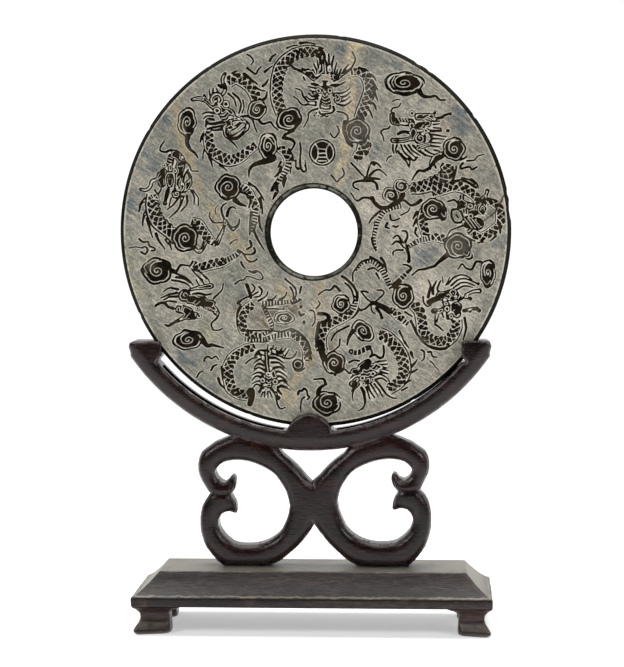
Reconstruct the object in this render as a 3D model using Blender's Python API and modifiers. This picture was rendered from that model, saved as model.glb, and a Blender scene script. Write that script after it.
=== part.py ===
"""A carved stone bi disc held upright in a scrolled hardwood stand.

Nine dragons wind through clouds on the face of the disc. The disc rests in a cradle that is carved in
one with two open scrolls, and the scrolls stand on a bevelled slab with four bracket feet.
The origin is on the floor, midway between the feet. The front faces -Y and +Z is up.
"""

import math

import bmesh
import bpy
from mathutils import Matrix, Vector

MM = 0.001

# Stone disc
DISC_RADIUS = 150 * MM
DISC_THICKNESS = 12 * MM
RIM_CHAMFER = 3 * MM
HOLE_RADIUS = 33.5 * MM
HOLE_CHAMFER = 3.5 * MM
HOLE_CHAMFER_DEPTH = 2.6 * MM
HOLE_SHIFT = Vector((-1.15 * MM, 0.05 * MM))
SCALE_DEPTH = 0.9 * MM
CLOUD_DEPTH = 1.1 * MM
STROKE_DEPTH = 1.3 * MM
BACK_CLOUD_DEPTH = 0.8 * MM
BACK_CLOUDS = 6

# Cradle, measured from the middle of its arc, which is a little left of the disc and below its middle
CRADLE_GAP = 3 * MM
CRADLE_THICKNESS = 13.1 * MM
CRADLE_DEPTH = 28 * MM
CRADLE_ROUNDING = 2.4 * MM
CRADLE_SHIFT = -4.4 * MM
CRADLE_DROP = 0.8 * MM
HORN_TOP = 82.5 * MM
HORN_END = 138.2 * MM
HORN_LIP_LEFT = 114.2 * MM
HORN_LIP_RIGHT = 116.6 * MM
HORN_LIP_HEIGHT = 11.5 * MM
HORN_CORNER = 4 * MM
HORN_FLARE = 9 * MM
HUMP_RADIUS = 18.4 * MM
HUMP_DROP = 4 * MM
GROOVE_DEPTH = 2 * MM
SLOT_SIDE_PLAY = 0.4 * MM

# Scrolls
SCROLL_RISE = 91.5 * MM
SCROLL_DEPTH = 25 * MM
SCROLL_ROUNDING = 3 * MM
SCROLL_SHIFT = -2.4 * MM
SCROLL_RIGHT_LIFT = 3 * MM
CREASE_DEPTH = 2 * MM

# Slab and feet
SLAB_WIDTH = 272 * MM
SLAB_DEPTH = 91 * MM
SLAB_FASCIA = 7.7 * MM
SLAB_BEVEL_HEIGHT = 16.8 * MM
SLAB_BEVEL_INSET = 20 * MM
SLAB_BEVEL_HOLLOW = 1.3
SLAB_ARRIS = 1.2 * MM
SLAB_SHIFT = -2.4 * MM
FOOT_HEIGHT = 21.5 * MM
FOOT_LENGTH = 27 * MM
FOOT_WING = 8 * MM
FOOT_WAIST = 6.6 * MM
FOOT_TOE_TURN = 6 * MM
FOOT_ROUNDING = 2.2 * MM

# Touching pieces keep this gap
SEAT_GAP = 0.3 * MM

# The carver's drawing sheet, x to the right and y down
SHEET_CENTRE = (316, 231)
SHEET_RADIUS = 195.6

# The height of the scrolls in their own outlines
OUTLINE_RISE = 91.5

# Round work
DISC_SEGMENTS = 72
HOLE_SEGMENTS = 36
ARC_SEGMENTS = 24
GROOVE_SEGMENTS = 12
SLAB_BEVEL_STEPS = 5
CUT_MARGIN = 2 * MM

# Heights, worked out upwards from the floor
SLAB_TOP = FOOT_HEIGHT + SEAT_GAP + SLAB_FASCIA + SLAB_BEVEL_HEIGHT
SCROLL_BOTTOM = SLAB_TOP + SEAT_GAP
CRADLE_RADIUS = DISC_RADIUS + CRADLE_GAP
CRADLE_HEIGHT = SCROLL_BOTTOM + SCROLL_RISE + CRADLE_THICKNESS + CRADLE_RADIUS
DISC_HEIGHT = CRADLE_HEIGHT + CRADLE_DROP

# Dragon bodies on the sheet: the middle line, the width at its start, middle and end
BODIES = [
    ([(318, 52), (304, 52), (291, 56), (281, 66), (276, 79), (276, 94), (279, 107)], (11, 14, 12)),
    ([(356, 74), (365, 82), (368, 95), (363, 108)], (10, 15, 13)),
    ([(364, 137), (364, 148), (356, 157)], (12, 12, 8)),
    ([(228, 82), (239, 80), (249, 88), (254, 97)], (10, 13, 12)),
    ([(208, 133), (209, 146), (218, 157), (231, 160), (244, 155), (256, 145)], (11, 13, 9)),
    ([(281, 150), (287, 160), (284, 172), (276, 185)], (9, 8, 4)),
    ([(153, 196), (152, 208), (156, 220), (167, 231)], (14, 16, 15)),
    ([(195, 222), (204, 232), (214, 243)], (11, 11, 8)),
    ([(243, 186), (251, 194), (256, 206), (255, 219), (252, 232)], (8, 10, 4)),
    ([(194, 266), (208, 267), (223, 262), (237, 254)], (9, 12, 4)),
    ([(250, 304), (242, 314), (243, 327), (253, 336)], (9, 12, 8)),
    ([(263, 304), (277, 304), (292, 301)], (7, 6, 3)),
    ([(266, 338), (284, 334), (298, 340), (305, 352), (304, 364)], (4, 10, 9)),
    ([(254, 346), (240, 351), (229, 363), (227, 378), (234, 392), (248, 396)], (8, 13, 12)),
    ([(447, 164), (446, 177), (432, 185), (414, 188)], (16, 16, 12)),
    ([(438, 194), (452, 189), (467, 190), (479, 200)], (9, 13, 10)),
    ([(488, 201), (499, 211), (497, 228), (481, 236)], (9, 11, 9)),
    ([(424, 212), (422, 224), (426, 236)], (11, 12, 8)),
    ([(443, 239), (426, 240), (410, 247)], (9, 10, 5)),
    ([(388, 210), (379, 219), (374, 232)], (8, 7, 4)),
    ([(413, 306), (420, 320), (425, 336), (440, 342), (452, 336), (457, 323)], (11, 13, 13)),
    ([(391, 286), (384, 272), (373, 263), (362, 264)], (11, 9, 4)),
    ([(391, 311), (401, 318), (408, 325)], (7, 9, 5)),
    ([(378, 331), (391, 338), (402, 352), (405, 368), (397, 383)], (11, 14, 13)),
    ([(358, 296), (353, 311), (338, 321), (324, 331), (321, 346)], (7, 12, 12)),
]
SCALE_PITCH = 11.8
SCALE_LIGHT = 2.6
SCALE_SHEAR = 3.5

# Clouds on the sheet: middle, half width, half height, turn in degrees, and hand
CLOUDS = [
    ((289, 118), 14, 12, 25, 1),
    ((258, 109), 10, 10, -30, -1),
    ((268, 147), 10, 15, 0, 1),
    ((187, 122), 9, 15, 0, -1),
    ((185, 239), 13, 14, 0, 1),
    ((228, 187), 13, 13, 45, 1),
    ((157, 271), 15, 14, 0, -1),
    ((188, 340), 15, 10, -10, -1),
    ((284, 318), 11, 7, 0, 1),
    ((404, 83), 20, 12, 0, -1),
    ((454, 149), 12, 12, 0, -1),
    ((432, 206), 13, 10, 0, 1),
    ((458, 245), 14, 13, 0, 1),
    ((487, 273), 8, 14, 0, -1),
    ((394, 191), 14, 10, 45, 1),
    ((403, 295), 11, 13, 0, -1),
    ((341, 303), 10, 10, 20, -1),
    ((335, 361), 13, 11, 30, 1),
    ((363, 331), 15, 9, 40, 1),
    ((326, 402), 14, 11, 0, -1),
    ((357, 130), 13, 13, 0, 1),
]
CLOUD_TURNS = 1.2
CLOUD_STEPS = 7
CLOUD_BAND = 0.30

# Cloud tails on the sheet, each from its thick end to its thin one
TAILS = [
    [(272, 158), (260, 163), (250, 169), (249, 177)],
    [(188, 139), (188, 147), (194, 151), (199, 159)],
    [(166, 262), (174, 270), (181, 265), (190, 266)],
    [(204, 342), (209, 347), (216, 345), (225, 348)],
    [(419, 92), (425, 97), (434, 96), (446, 101)],
    [(481, 262), (475, 264), (470, 270), (458, 268)],
    [(446, 254), (438, 261), (430, 267), (421, 270)],
    [(319, 392), (325, 384), (322, 379), (313, 379)],
    [(341, 290), (334, 287), (328, 291), (318, 295)],
    [(403, 285), (409, 277), (410, 270), (404, 265)],
]
TAIL_WIDTH = 5.5

# Heads seen from the side: nape, snout, and the side on which the horns stand
SIDE_HEADS = [
    ((214, 96), (240, 128), 1),
    ((166, 192), (177, 153), 1),
    ((180, 308), (218, 308), -1),
    ((432, 126), (391, 120), -1),
    ((483, 213), (454, 212), -1),
    ((464, 304), (431, 304), -1),
]

# Heads seen from the front: crown, chin
FRONT_HEADS = [
    ((325, 74), (325, 114)),
    ((275, 356), (268, 394)),
    ((374, 384), (360, 348)),
]

# Claws: wrist and the way they point, in degrees on the sheet
CLAWS = [
    ((366, 179), 80),
    ((226, 222), -70),
    ((241, 252), -10),
    ((249, 296), -75),
    ((404, 246), 175),
    ((372, 303), 130),
]
CLAW_REACH = 15
CLAW_SPREAD = (-75, -25, 25, 75)

# Medallion with two facing shields between bars
MEDALLION_CENTRE = (322, 152.5)
MEDALLION_RADIUS = 12.5
MEDALLION_BARS = (-7.5, 0.5, 6.5)

# The left scroll from the front, x from the scrolls' axis and y from their flat bottom
SCROLL_SIDE = [
    (-58, 103.5), (-68.5, 100), (-76, 96.6), (-82.4, 92), (-86.6, 86.4), (-88.7, 80), (-89, 73.5),
    (-87.4, 67.5), (-84.4, 62), (-79.8, 57), (-83.6, 51.5), (-86.6, 44.5), (-88, 36), (-87.5, 27),
    (-85.6, 19.5), (-82, 12.5), (-77, 6.4), (-69.6, 0),
]
SCROLL_INSIDE_LOW = [(-35.1, 0), (-26.5, 4.2), (-19.4, 10), (-12, 16.5), (-5.5, 24.2)]
SCROLL_CONTACT = (33.6, 63.3)
SCROLL_INSIDE_HIGH = [(-6, 70), (-14.5, 79.2), (-25, 88), (-27, 94), (-46, 98)]
SCROLL_VOID = [
    (-60, 83.1), (-71, 81), (-76.2, 75), (-74.4, 68.3), (-69.6, 65.2), (-66, 66.5), (-63, 70.6),
    (-60.6, 66), (-61.4, 60.5), (-65, 56.4), (-61, 50), (-59.4, 44.5), (-61, 41.4), (-66.5, 43),
    (-72.1, 40.8), (-74.4, 35), (-71.6, 25.2), (-63.4, 18), (-51, 15.7), (-38, 18), (-26.6, 25.8),
    (-19.8, 37), (-18.2, 48), (-21, 59), (-28.6, 70.6), (-42, 79.6),
]
SCROLL_PINCH = [(-82.5, 57), (-62.5, 56.4)]

# A foot's profile: the height as a share, and the outer inset and inner trim as shares of waist and wing
FOOT_PROFILE = [
    (0, 0.5, -0.05), (0.06, 0.2, 0), (0.16, 0.18, 0), (0.30, 0.5, -0.03), (0.44, 0.85, -0.06),
    (0.58, 1, -0.08), (0.74, 0.95, -0.1), (0.88, 0.6, 0.3), (1, 0.1, 1),
]


def clear_scene():
    """Remove what the scene holds."""
    for item in list(bpy.data.objects):
        bpy.data.objects.remove(item, do_unlink=True)
    for group in list(bpy.data.collections):
        bpy.data.collections.remove(group)


def new_collection(name):
    """Return a new collection linked to the scene."""
    group = bpy.data.collections.new(name)
    bpy.context.scene.collection.children.link(group)
    return group


def plain_material(name, colour, roughness):
    """Return a Principled material of one colour."""
    material = bpy.data.materials.new(name)
    material.use_nodes = True
    shader = material.node_tree.nodes["Principled BSDF"]
    shader.inputs["Base Color"].default_value = (*colour, 1)
    shader.inputs["Roughness"].default_value = roughness
    shader.inputs["Metallic"].default_value = 0
    return material


def add_object(name, mesh, group, place):
    """Link a mesh object and give it its place in the world."""
    item = bpy.data.objects.new(name, mesh)
    item.matrix_world = place
    group.objects.link(item)
    return item


def add_cutter(name, mesh, group, place):
    """Link a cutter, drawn as wire and left out of renders."""
    item = add_object(name, mesh, group, place)
    item.hide_render = True
    item.display_type = "WIRE"
    return item


def boolean(target, tool, operation, overlapping=False):
    """Add an exact Boolean modifier."""
    modifier = target.modifiers.new(f"{operation.lower()} {tool.name}", "BOOLEAN")
    modifier.operation = operation
    modifier.object = tool
    modifier.solver = "EXACT"
    modifier.use_self = overlapping
    return modifier


def bevel(target, width, segments, angle=50):
    """Round or chamfer the edges sharper than the angle."""
    modifier = target.modifiers.new("edge rounding", "BEVEL")
    modifier.width = width
    modifier.segments = segments
    modifier.limit_method = "ANGLE"
    modifier.angle_limit = math.radians(angle)
    return modifier


def arc(centre, radius, start, end, steps):
    """Points on an arc, both ends included, with angles in degrees."""
    points = []
    for index in range(steps + 1):
        angle = math.radians(start + (end - start) * index / steps)
        points.append(Vector((centre[0] + radius * math.cos(angle), centre[1] + radius * math.sin(angle))))
    return points


def smooth_line(points, steps):
    """Points evenly spaced along a Catmull-Rom curve through the given ones."""
    knots = [Vector(point) for point in points]
    ends = [2 * knots[0] - knots[1]] + knots + [2 * knots[-1] - knots[-2]]
    fine = []
    for first, second, third, fourth in zip(ends, ends[1:], ends[2:], ends[3:]):
        for index in range(12):
            t = index / 12
            fine.append(0.5 * (2 * second + (third - first) * t
                               + (2 * first - 5 * second + 4 * third - fourth) * t ** 2
                               + (3 * second - first - 3 * third + fourth) * t ** 3))
    fine.append(knots[-1])
    lengths = [0]
    for start, end in zip(fine, fine[1:]):
        lengths.append(lengths[-1] + (end - start).length)
    spaced = []
    segment = 0
    for index in range(steps + 1):
        wanted = lengths[-1] * index / steps
        while segment < len(fine) - 2 and lengths[segment + 1] < wanted:
            segment += 1
        share = (wanted - lengths[segment]) / max(lengths[segment + 1] - lengths[segment], 1e-9)
        spaced.append(fine[segment].lerp(fine[segment + 1], share))
    return spaced


def line_length(points):
    """The length of the smooth curve through some points."""
    fine = smooth_line(points, 24)
    return sum((end - start).length for start, end in zip(fine, fine[1:]))


def sideways(points, index):
    """The unit vector to the left of a line at one of its points."""
    ahead = points[min(index + 1, len(points) - 1)] - points[max(index - 1, 0)]
    return Vector((-ahead.y, ahead.x)).normalized()


def ribbon(points, width, steps, blunt=0.35):
    """The outline of a stroke that swells a third of the way along and ends in a point."""
    spine = smooth_line(points, steps)
    left, right = [], []
    for index, point in enumerate(spine[:-1]):
        share = index / steps
        half = width / 2 * min(blunt + share * 2.6, 1, (1 - share) * 1.6)
        side = sideways(spine, index) * half
        left.append(point + side)
        right.append(point - side)
    return left + [spine[-1]] + right[::-1]


def band_width(widths, share):
    """The width of a body between its start, middle and end widths."""
    start, middle, end = widths
    if share < 0.5:
        return start + (middle - start) * share * 2
    return middle + (end - middle) * (share * 2 - 1)


def scale_cells(points, widths):
    """The outlines of the sunk scales across a body, with a light bar left between them."""
    count = max(2, round(line_length(points) / SCALE_PITCH))
    steps = count * 4
    spine = smooth_line(points, steps)
    light = SCALE_LIGHT / SCALE_PITCH * 4
    cells = []
    for index in range(count):
        first = spine[index * 4]
        last_step = index * 4 + 4 - light
        low = int(last_step)
        last = spine[low].lerp(spine[min(low + 1, steps)], last_step - low)
        first_side = sideways(spine, index * 4)
        last_side = sideways(spine, low)
        first_half = band_width(widths, index / count) / 2
        last_half = band_width(widths, (index + 0.7) / count) / 2
        lean = (last - first).normalized() * SCALE_SHEAR / 2
        cells.append([
            first + first_side * first_half + lean,
            first - first_side * first_half - lean,
            last - last_side * last_half - lean,
            last + last_side * last_half + lean,
        ])
    return cells


def cloud_spiral(centre, half_width, half_height, turn, hand):
    """The outline of a cloud's sunk spiral band."""
    middle = Vector(centre)
    turned = Matrix.Rotation(math.radians(turn), 2)
    outer, inner = [], []
    for index in range(CLOUD_STEPS + 1):
        share = index / CLOUD_STEPS
        angle = -hand * (math.radians(100) + share * CLOUD_TURNS * 2 * math.pi)
        reach = 1 - 0.62 * share
        band = CLOUD_BAND * min(1, 0.35 + share * 3)
        across = Vector((math.cos(angle) * half_width, math.sin(angle) * half_height))
        outer.append(middle + turned @ (across * reach))
        inner.append(middle + turned @ (across * (reach - band)))
    return outer + inner[::-1]


def placed(points, origin, along, across):
    """Points given along and across a direction, set on the sheet."""
    return [origin + along * x + across * y for x, y in points]


def side_head(nape, snout, hand):
    """Outlines of a head seen from the side."""
    start, end = Vector(nape), Vector(snout)
    along = end - start
    across = Vector((along.y, -along.x)) * hand
    skull = [(0.02, 0.06), (0.10, 0.30), (0.30, 0.34), (0.46, 0.20), (0.36, 0.04), (0.16, -0.04)]
    muzzle = [(0.52, 0.16), (0.80, 0.14), (0.94, 0.24), (1.02, 0.08), (0.90, -0.04), (0.56, 0.02)]
    jaw = [(0.26, -0.14), (0.52, -0.26), (0.86, -0.22)]
    horns = [[(0.08, 0.34), (-0.16, 0.50), (-0.44, 0.46)], [(0.26, 0.40), (0.10, 0.62), (-0.16, 0.74)]]
    locks = [[(-0.02, 0.12 - 0.20 * row), (-0.42, 0.10 - 0.30 * row)] for row in range(3)]
    outlines = [placed(skull, start, along, across), placed(muzzle, start, along, across)]
    outlines.append(ribbon(placed(jaw, start, along, across), 5, 4))
    outlines.extend(ribbon(placed(horn, start, along, across), 5, 3) for horn in horns)
    outlines.extend(ribbon(placed(lock, start, along, across), 2.6, 2) for lock in locks)
    return outlines


def front_head(crown, chin):
    """Outlines of a head seen from the front."""
    start, end = Vector(crown), Vector(chin)
    along = end - start
    across = Vector((-along.y, along.x))
    outlines = []
    for side in (-1, 1):
        eye = [(0.30, 0.08), (0.22, 0.22), (0.36, 0.32), (0.46, 0.20), (0.42, 0.06)]
        eye = [(x, y * side) for x, y in eye]
        outlines.append(placed(eye, start, along, across))
        brow = [(0.14, 0.16 * side), (-0.02, 0.42 * side), (-0.26, 0.74 * side)]
        outlines.append(ribbon(placed(brow, start, along, across), 5, 4))
        for row in range(2):
            lock = [(0.40 + 0.22 * row, 0.36 * side), (0.40 + 0.36 * row, 0.78 * side)]
            outlines.append(ribbon(placed(lock, start, along, across), 2.6, 2))
    nose = [(0.58, -0.14), (0.56, 0.14), (0.72, 0.24), (0.80, 0), (0.72, -0.24)]
    outlines.append(placed(nose, start, along, across))
    lip = [(0.92, -0.30), (1.0, 0), (0.92, 0.30)]
    outlines.append(ribbon(placed(lip, start, along, across), 4, 4))
    for spike in (-0.14, 0, 0.14):
        crest = [(0.12, spike), (-0.34, spike * 1.6)]
        outlines.append(ribbon(placed(crest, start, along, across), 3, 2))
    return outlines


def claw(wrist, heading):
    """Outlines of a claw's spread toes."""
    middle = Vector(wrist)
    toes = []
    for spread in CLAW_SPREAD:
        angle = math.radians(heading + spread)
        out = Vector((math.cos(angle), math.sin(angle)))
        curl = Vector((-out.y, out.x)) * math.copysign(0.3, spread)
        points = [middle + out * 2, middle + out * CLAW_REACH * 0.6, middle + (out - curl) * CLAW_REACH]
        toes.append(ribbon(points, 3.2, 2))
    return toes


def medallion():
    """Outlines of a round medallion with two facing shields and three bars."""
    middle = Vector(MEDALLION_CENTRE)
    outlines = []
    for side in (-1, 1):
        rim = arc((0, 0), MEDALLION_RADIUS, -52, 52, 6)
        inner = arc((0, 0), MEDALLION_RADIUS * 0.74, 40, -40, 4)
        outlines.append([middle + Vector((point.x * side, point.y)) for point in rim + inner])
    half = MEDALLION_RADIUS * 0.5
    for offset in MEDALLION_BARS:
        bar = [(-half, offset - 2), (half, offset - 2), (half, offset + 2), (-half, offset + 2)]
        outlines.append([middle + Vector(point) for point in bar])
    return outlines


def on_disc(point, radius):
    """A sheet point in the disc's own plane, x to the right and y up."""
    unit = radius / SHEET_RADIUS
    return Vector(((point[0] - SHEET_CENTRE[0]) * unit, (SHEET_CENTRE[1] - point[1]) * unit))


def prisms(name, outlines, bottom, top):
    """A mesh with one closed prism for each outline, made by extruding it."""
    mesh_data = bmesh.new()
    for outline in outlines:
        area = sum(a.x * b.y - b.x * a.y for a, b in zip(outline, outline[1:] + outline[:1]))
        ordered = outline if area < 0 else outline[::-1]
        corners = [mesh_data.verts.new((point.x, point.y, bottom)) for point in ordered]
        face = mesh_data.faces.new(corners)
        raised = bmesh.ops.extrude_face_region(mesh_data, geom=[face], use_keep_orig=True)
        moved = [item for item in raised["geom"] if isinstance(item, bmesh.types.BMVert)]
        bmesh.ops.translate(mesh_data, verts=moved, vec=(0, 0, top - bottom))
    bmesh.ops.recalc_face_normals(mesh_data, faces=mesh_data.faces)
    mesh = bpy.data.meshes.new(name)
    mesh_data.to_mesh(mesh)
    mesh_data.free()
    return mesh


def turned(name, profile, segments, group, place):
    """A cutter turned about its local Z axis from a profile that runs from top to bottom."""
    mesh = bpy.data.meshes.new(name)
    edges = [(index, index + 1) for index in range(len(profile) - 1)]
    mesh.from_pydata([(x, 0, z) for x, z in profile], edges, [])
    item = add_cutter(name, mesh, group, place)
    screw = item.modifiers.new("turning", "SCREW")
    screw.steps = segments
    screw.render_steps = segments
    screw.use_merge_vertices = True
    screw.merge_threshold = 0.00002
    return item


def sheet_face(outlines, radius):
    """Outlines on the sheet, set in the disc's plane."""
    return [[on_disc(point, radius) for point in outline] for outline in outlines]


def back_cloud_outlines():
    """A ring of plain clouds for the back of the disc."""
    reach = (SHEET_RADIUS + HOLE_RADIUS / DISC_RADIUS * SHEET_RADIUS) / 2
    outlines = []
    for index in range(BACK_CLOUDS):
        angle = 2 * math.pi * index / BACK_CLOUDS
        middle = (SHEET_CENTRE[0] + reach * math.cos(angle), SHEET_CENTRE[1] + reach * math.sin(angle))
        outlines.append(cloud_spiral(middle, 26, 18, math.degrees(angle) + 90, 1))
    return outlines


def build_disc(group, cutters, stone):
    """The stone disc, chamfered at its rim and hole, with its carving sunk in the front."""
    place = Matrix.Translation((0, 0, DISC_HEIGHT)) @ Matrix.Rotation(math.pi / 2, 4, "X")
    half = DISC_THICKNESS / 2
    mesh_data = bmesh.new()
    bmesh.ops.create_cone(mesh_data, cap_ends=True, segments=DISC_SEGMENTS, radius1=DISC_RADIUS,
                          radius2=DISC_RADIUS, depth=DISC_THICKNESS)
    mesh = bpy.data.meshes.new("bi_disc")
    mesh_data.to_mesh(mesh)
    mesh_data.free()
    mesh.materials.append(stone)
    disc = add_object("bi_disc", mesh, group, place)
    bevel(disc, RIM_CHAMFER, 1)

    flare = HOLE_CHAMFER / HOLE_CHAMFER_DEPTH
    mouth = HOLE_RADIUS + HOLE_CHAMFER + CUT_MARGIN * flare
    outside = half + CUT_MARGIN
    inside = half - HOLE_CHAMFER_DEPTH
    profile = [(0, outside), (mouth, outside), (HOLE_RADIUS, inside), (HOLE_RADIUS, -inside),
               (mouth, -outside), (0, -outside)]
    hole_place = place @ Matrix.Translation((HOLE_SHIFT.x, HOLE_SHIFT.y, 0))
    boolean(disc, turned("hole cutter", profile, HOLE_SEGMENTS, cutters, hole_place), "DIFFERENCE")

    scales = []
    for points, widths in BODIES:
        scales.extend(scale_cells(points, widths))
    clouds = [cloud_spiral(*cloud) for cloud in CLOUDS]
    clouds.extend(ribbon(tail, TAIL_WIDTH, 3, blunt=0.8) for tail in TAILS)
    strokes = medallion()
    for head in SIDE_HEADS:
        strokes.extend(side_head(*head))
    for head in FRONT_HEADS:
        strokes.extend(front_head(*head))
    for limb in CLAWS:
        strokes.extend(claw(*limb))
    layers = [("scale cutter", scales, SCALE_DEPTH), ("cloud cutter", clouds, CLOUD_DEPTH),
              ("stroke cutter", strokes, STROKE_DEPTH)]
    for name, outlines, depth in layers:
        flat = sheet_face(outlines, DISC_RADIUS)
        tool = add_cutter(name, prisms(name, flat, half - depth, outside), cutters, place)
        boolean(disc, tool, "DIFFERENCE", overlapping=True)

    back = sheet_face(back_cloud_outlines(), DISC_RADIUS)
    back_mesh = prisms("back cloud cutter", back, -outside, -half + BACK_CLOUD_DEPTH)
    boolean(disc, add_cutter("back cloud cutter", back_mesh, cutters, place), "DIFFERENCE")


def horn_outline(lip):
    """One horn, from the inner arc over the lip and the top to the outer arc, about the arc's middle."""
    lip_bottom = HORN_TOP + HORN_LIP_HEIGHT
    return [Vector(point) for point in (
        (lip + 0.85 * HORN_CORNER, -lip_bottom - 1.15 * HORN_CORNER),
        (lip - 0.2 * HORN_CORNER, -lip_bottom + 0.15 * HORN_CORNER),
        (lip, -HORN_TOP - 0.5 * HORN_CORNER),
        (lip + 0.4 * HORN_CORNER, -HORN_TOP),
        (HORN_END - HORN_CORNER, -HORN_TOP),
        (HORN_END - 0.25 * HORN_CORNER, -HORN_TOP - 0.3 * HORN_CORNER),
        (HORN_END, -HORN_TOP - HORN_CORNER),
        (HORN_END - 0.3 * HORN_CORNER, -HORN_TOP - HORN_FLARE),
    )]


def cradle_half(lip):
    """The right half of the cradle, from the hump's top round the horn to the bottom of the outer arc."""
    outer_radius = CRADLE_RADIUS + CRADLE_THICKNESS
    hump_middle = -(CRADLE_RADIUS + HUMP_DROP)
    reach = CRADLE_RADIUS + HUMP_DROP
    meet = (reach ** 2 + CRADLE_RADIUS ** 2 - HUMP_RADIUS ** 2) / (2 * reach * CRADLE_RADIUS)
    hump_angle = math.acos(meet)
    hump_edge = Vector((CRADLE_RADIUS * math.sin(hump_angle), -CRADLE_RADIUS * math.cos(hump_angle)))
    rise = math.degrees(math.atan2(hump_edge.y - hump_middle, hump_edge.x))
    horn = horn_outline(lip)
    inner_end = math.degrees(math.asin((horn[0].y - 0.3 * HORN_CORNER) / CRADLE_RADIUS))
    outer_start = math.degrees(math.asin((horn[-1].y - 0.8 * HORN_CORNER) / outer_radius))
    half = arc((0, hump_middle), HUMP_RADIUS, 90, rise, 6)
    half += arc((0, 0), CRADLE_RADIUS, -90 + math.degrees(hump_angle), inner_end, ARC_SEGMENTS // 2 - 3)[1:]
    return half + horn + arc((0, 0), outer_radius, outer_start, -90, ARC_SEGMENTS // 2)


def cradle_outline():
    """The cradle from the front: a crescent with two horns and the middle hump."""
    left = cradle_half(HORN_LIP_LEFT)[1:-1]
    return cradle_half(HORN_LIP_RIGHT) + [Vector((-point.x, point.y)) for point in reversed(left)]


def groove_outline(side):
    """One half of the shallow groove along the cradle's inner face, between the hump and a horn."""
    outer = CRADLE_RADIUS + GROOVE_DEPTH
    inner = CRADLE_RADIUS - CUT_MARGIN
    start = -90 + math.degrees(math.asin((HUMP_RADIUS + GROOVE_DEPTH) / CRADLE_RADIUS))
    end = -math.degrees(math.asin((HORN_TOP + HORN_LIP_HEIGHT + 2 * HORN_CORNER) / CRADLE_RADIUS))
    points = arc((0, 0), outer, start, end, GROOVE_SEGMENTS)
    points += arc((0, 0), inner, end, start, GROOVE_SEGMENTS)
    return [Vector((point.x * side, point.y)) for point in points]


def on_scroll(point, hand):
    """A point of the scroll outlines at its real size; the right scroll is a little higher half way up."""
    x, y = point
    share = y / OUTLINE_RISE
    lift = SCROLL_RIGHT_LIFT * max(0, 4 * share * (1 - share)) if hand > 0 else 0
    return Vector((-hand * x, y)) * (SCROLL_RISE / OUTLINE_RISE) + Vector((0, lift))


def scroll_outlines():
    """The pair of scrolls from the front: the outer line and the two voids."""
    low, high = SCROLL_CONTACT
    left = [on_scroll(point, -1) for point in SCROLL_SIDE + SCROLL_INSIDE_LOW + [(0, low)]]
    right = [on_scroll(point, 1) for point in reversed(SCROLL_SIDE + SCROLL_INSIDE_LOW)]
    top = [on_scroll(point, 1) for point in reversed(SCROLL_INSIDE_HIGH)]
    top += [on_scroll(point, -1) for point in [(0, high)] + SCROLL_INSIDE_HIGH]
    voids = [[on_scroll(point, hand) for point in SCROLL_VOID] for hand in (-1, 1)]
    return [left + right + top] + voids


def outline_object(name, outlines, depth, group, place):
    """A solid cut from a board: a filled 2D curve, extruded and made a mesh with welded caps."""
    curve = bpy.data.curves.new(name, "CURVE")
    curve.dimensions = "2D"
    curve.fill_mode = "BOTH"
    curve.extrude = depth / 2
    for outline in outlines:
        spline = curve.splines.new("POLY")
        spline.points.add(len(outline) - 1)
        for corner, point in zip(spline.points, outline):
            corner.co = (point.x, point.y, 0, 1)
        spline.use_cyclic_u = True
    source = bpy.data.objects.new(f"{name} curve", curve)
    source.matrix_world = place
    group.objects.link(source)
    bpy.context.view_layer.update()
    evaluated = source.evaluated_get(bpy.context.evaluated_depsgraph_get())
    mesh = bpy.data.meshes.new_from_object(evaluated)
    mesh.name = name
    item = add_object(name, mesh, group, source.matrix_world.copy())
    bpy.data.objects.remove(source, do_unlink=True)
    mesh_data = bmesh.new()
    mesh_data.from_mesh(mesh)
    bmesh.ops.remove_doubles(mesh_data, verts=mesh_data.verts, dist=0.00001)
    inner_edges = [edge for edge in mesh_data.edges if len(edge.link_faces) == 2]
    flat = [edge for edge in inner_edges if edge.calc_face_angle() < 0.001]
    bmesh.ops.dissolve_edges(mesh_data, edges=flat, use_verts=False)
    bmesh.ops.recalc_face_normals(mesh_data, faces=mesh_data.faces)
    mesh_data.to_mesh(mesh)
    mesh_data.free()
    return item


def crease_mesh(name, start, end, depth):
    """A long square bar set on its edge, which cuts a V in both faces of the scrolls."""
    along = end - start
    turn = math.atan2(along.y, along.x)
    middle = (start + end) / 2
    mesh_data = bmesh.new()
    for side in (-1, 1):
        matrix = (Matrix.Translation((middle.x, middle.y, side * SCROLL_DEPTH / 2))
                  @ Matrix.Rotation(turn, 4, "Z") @ Matrix.Rotation(math.pi / 4, 4, "X")
                  @ Matrix.Diagonal((along.length, depth * math.sqrt(2), depth * math.sqrt(2), 1)))
        bmesh.ops.create_cube(mesh_data, size=1, matrix=matrix)
    mesh = bpy.data.meshes.new(name)
    mesh_data.to_mesh(mesh)
    mesh_data.free()
    return mesh


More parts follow.
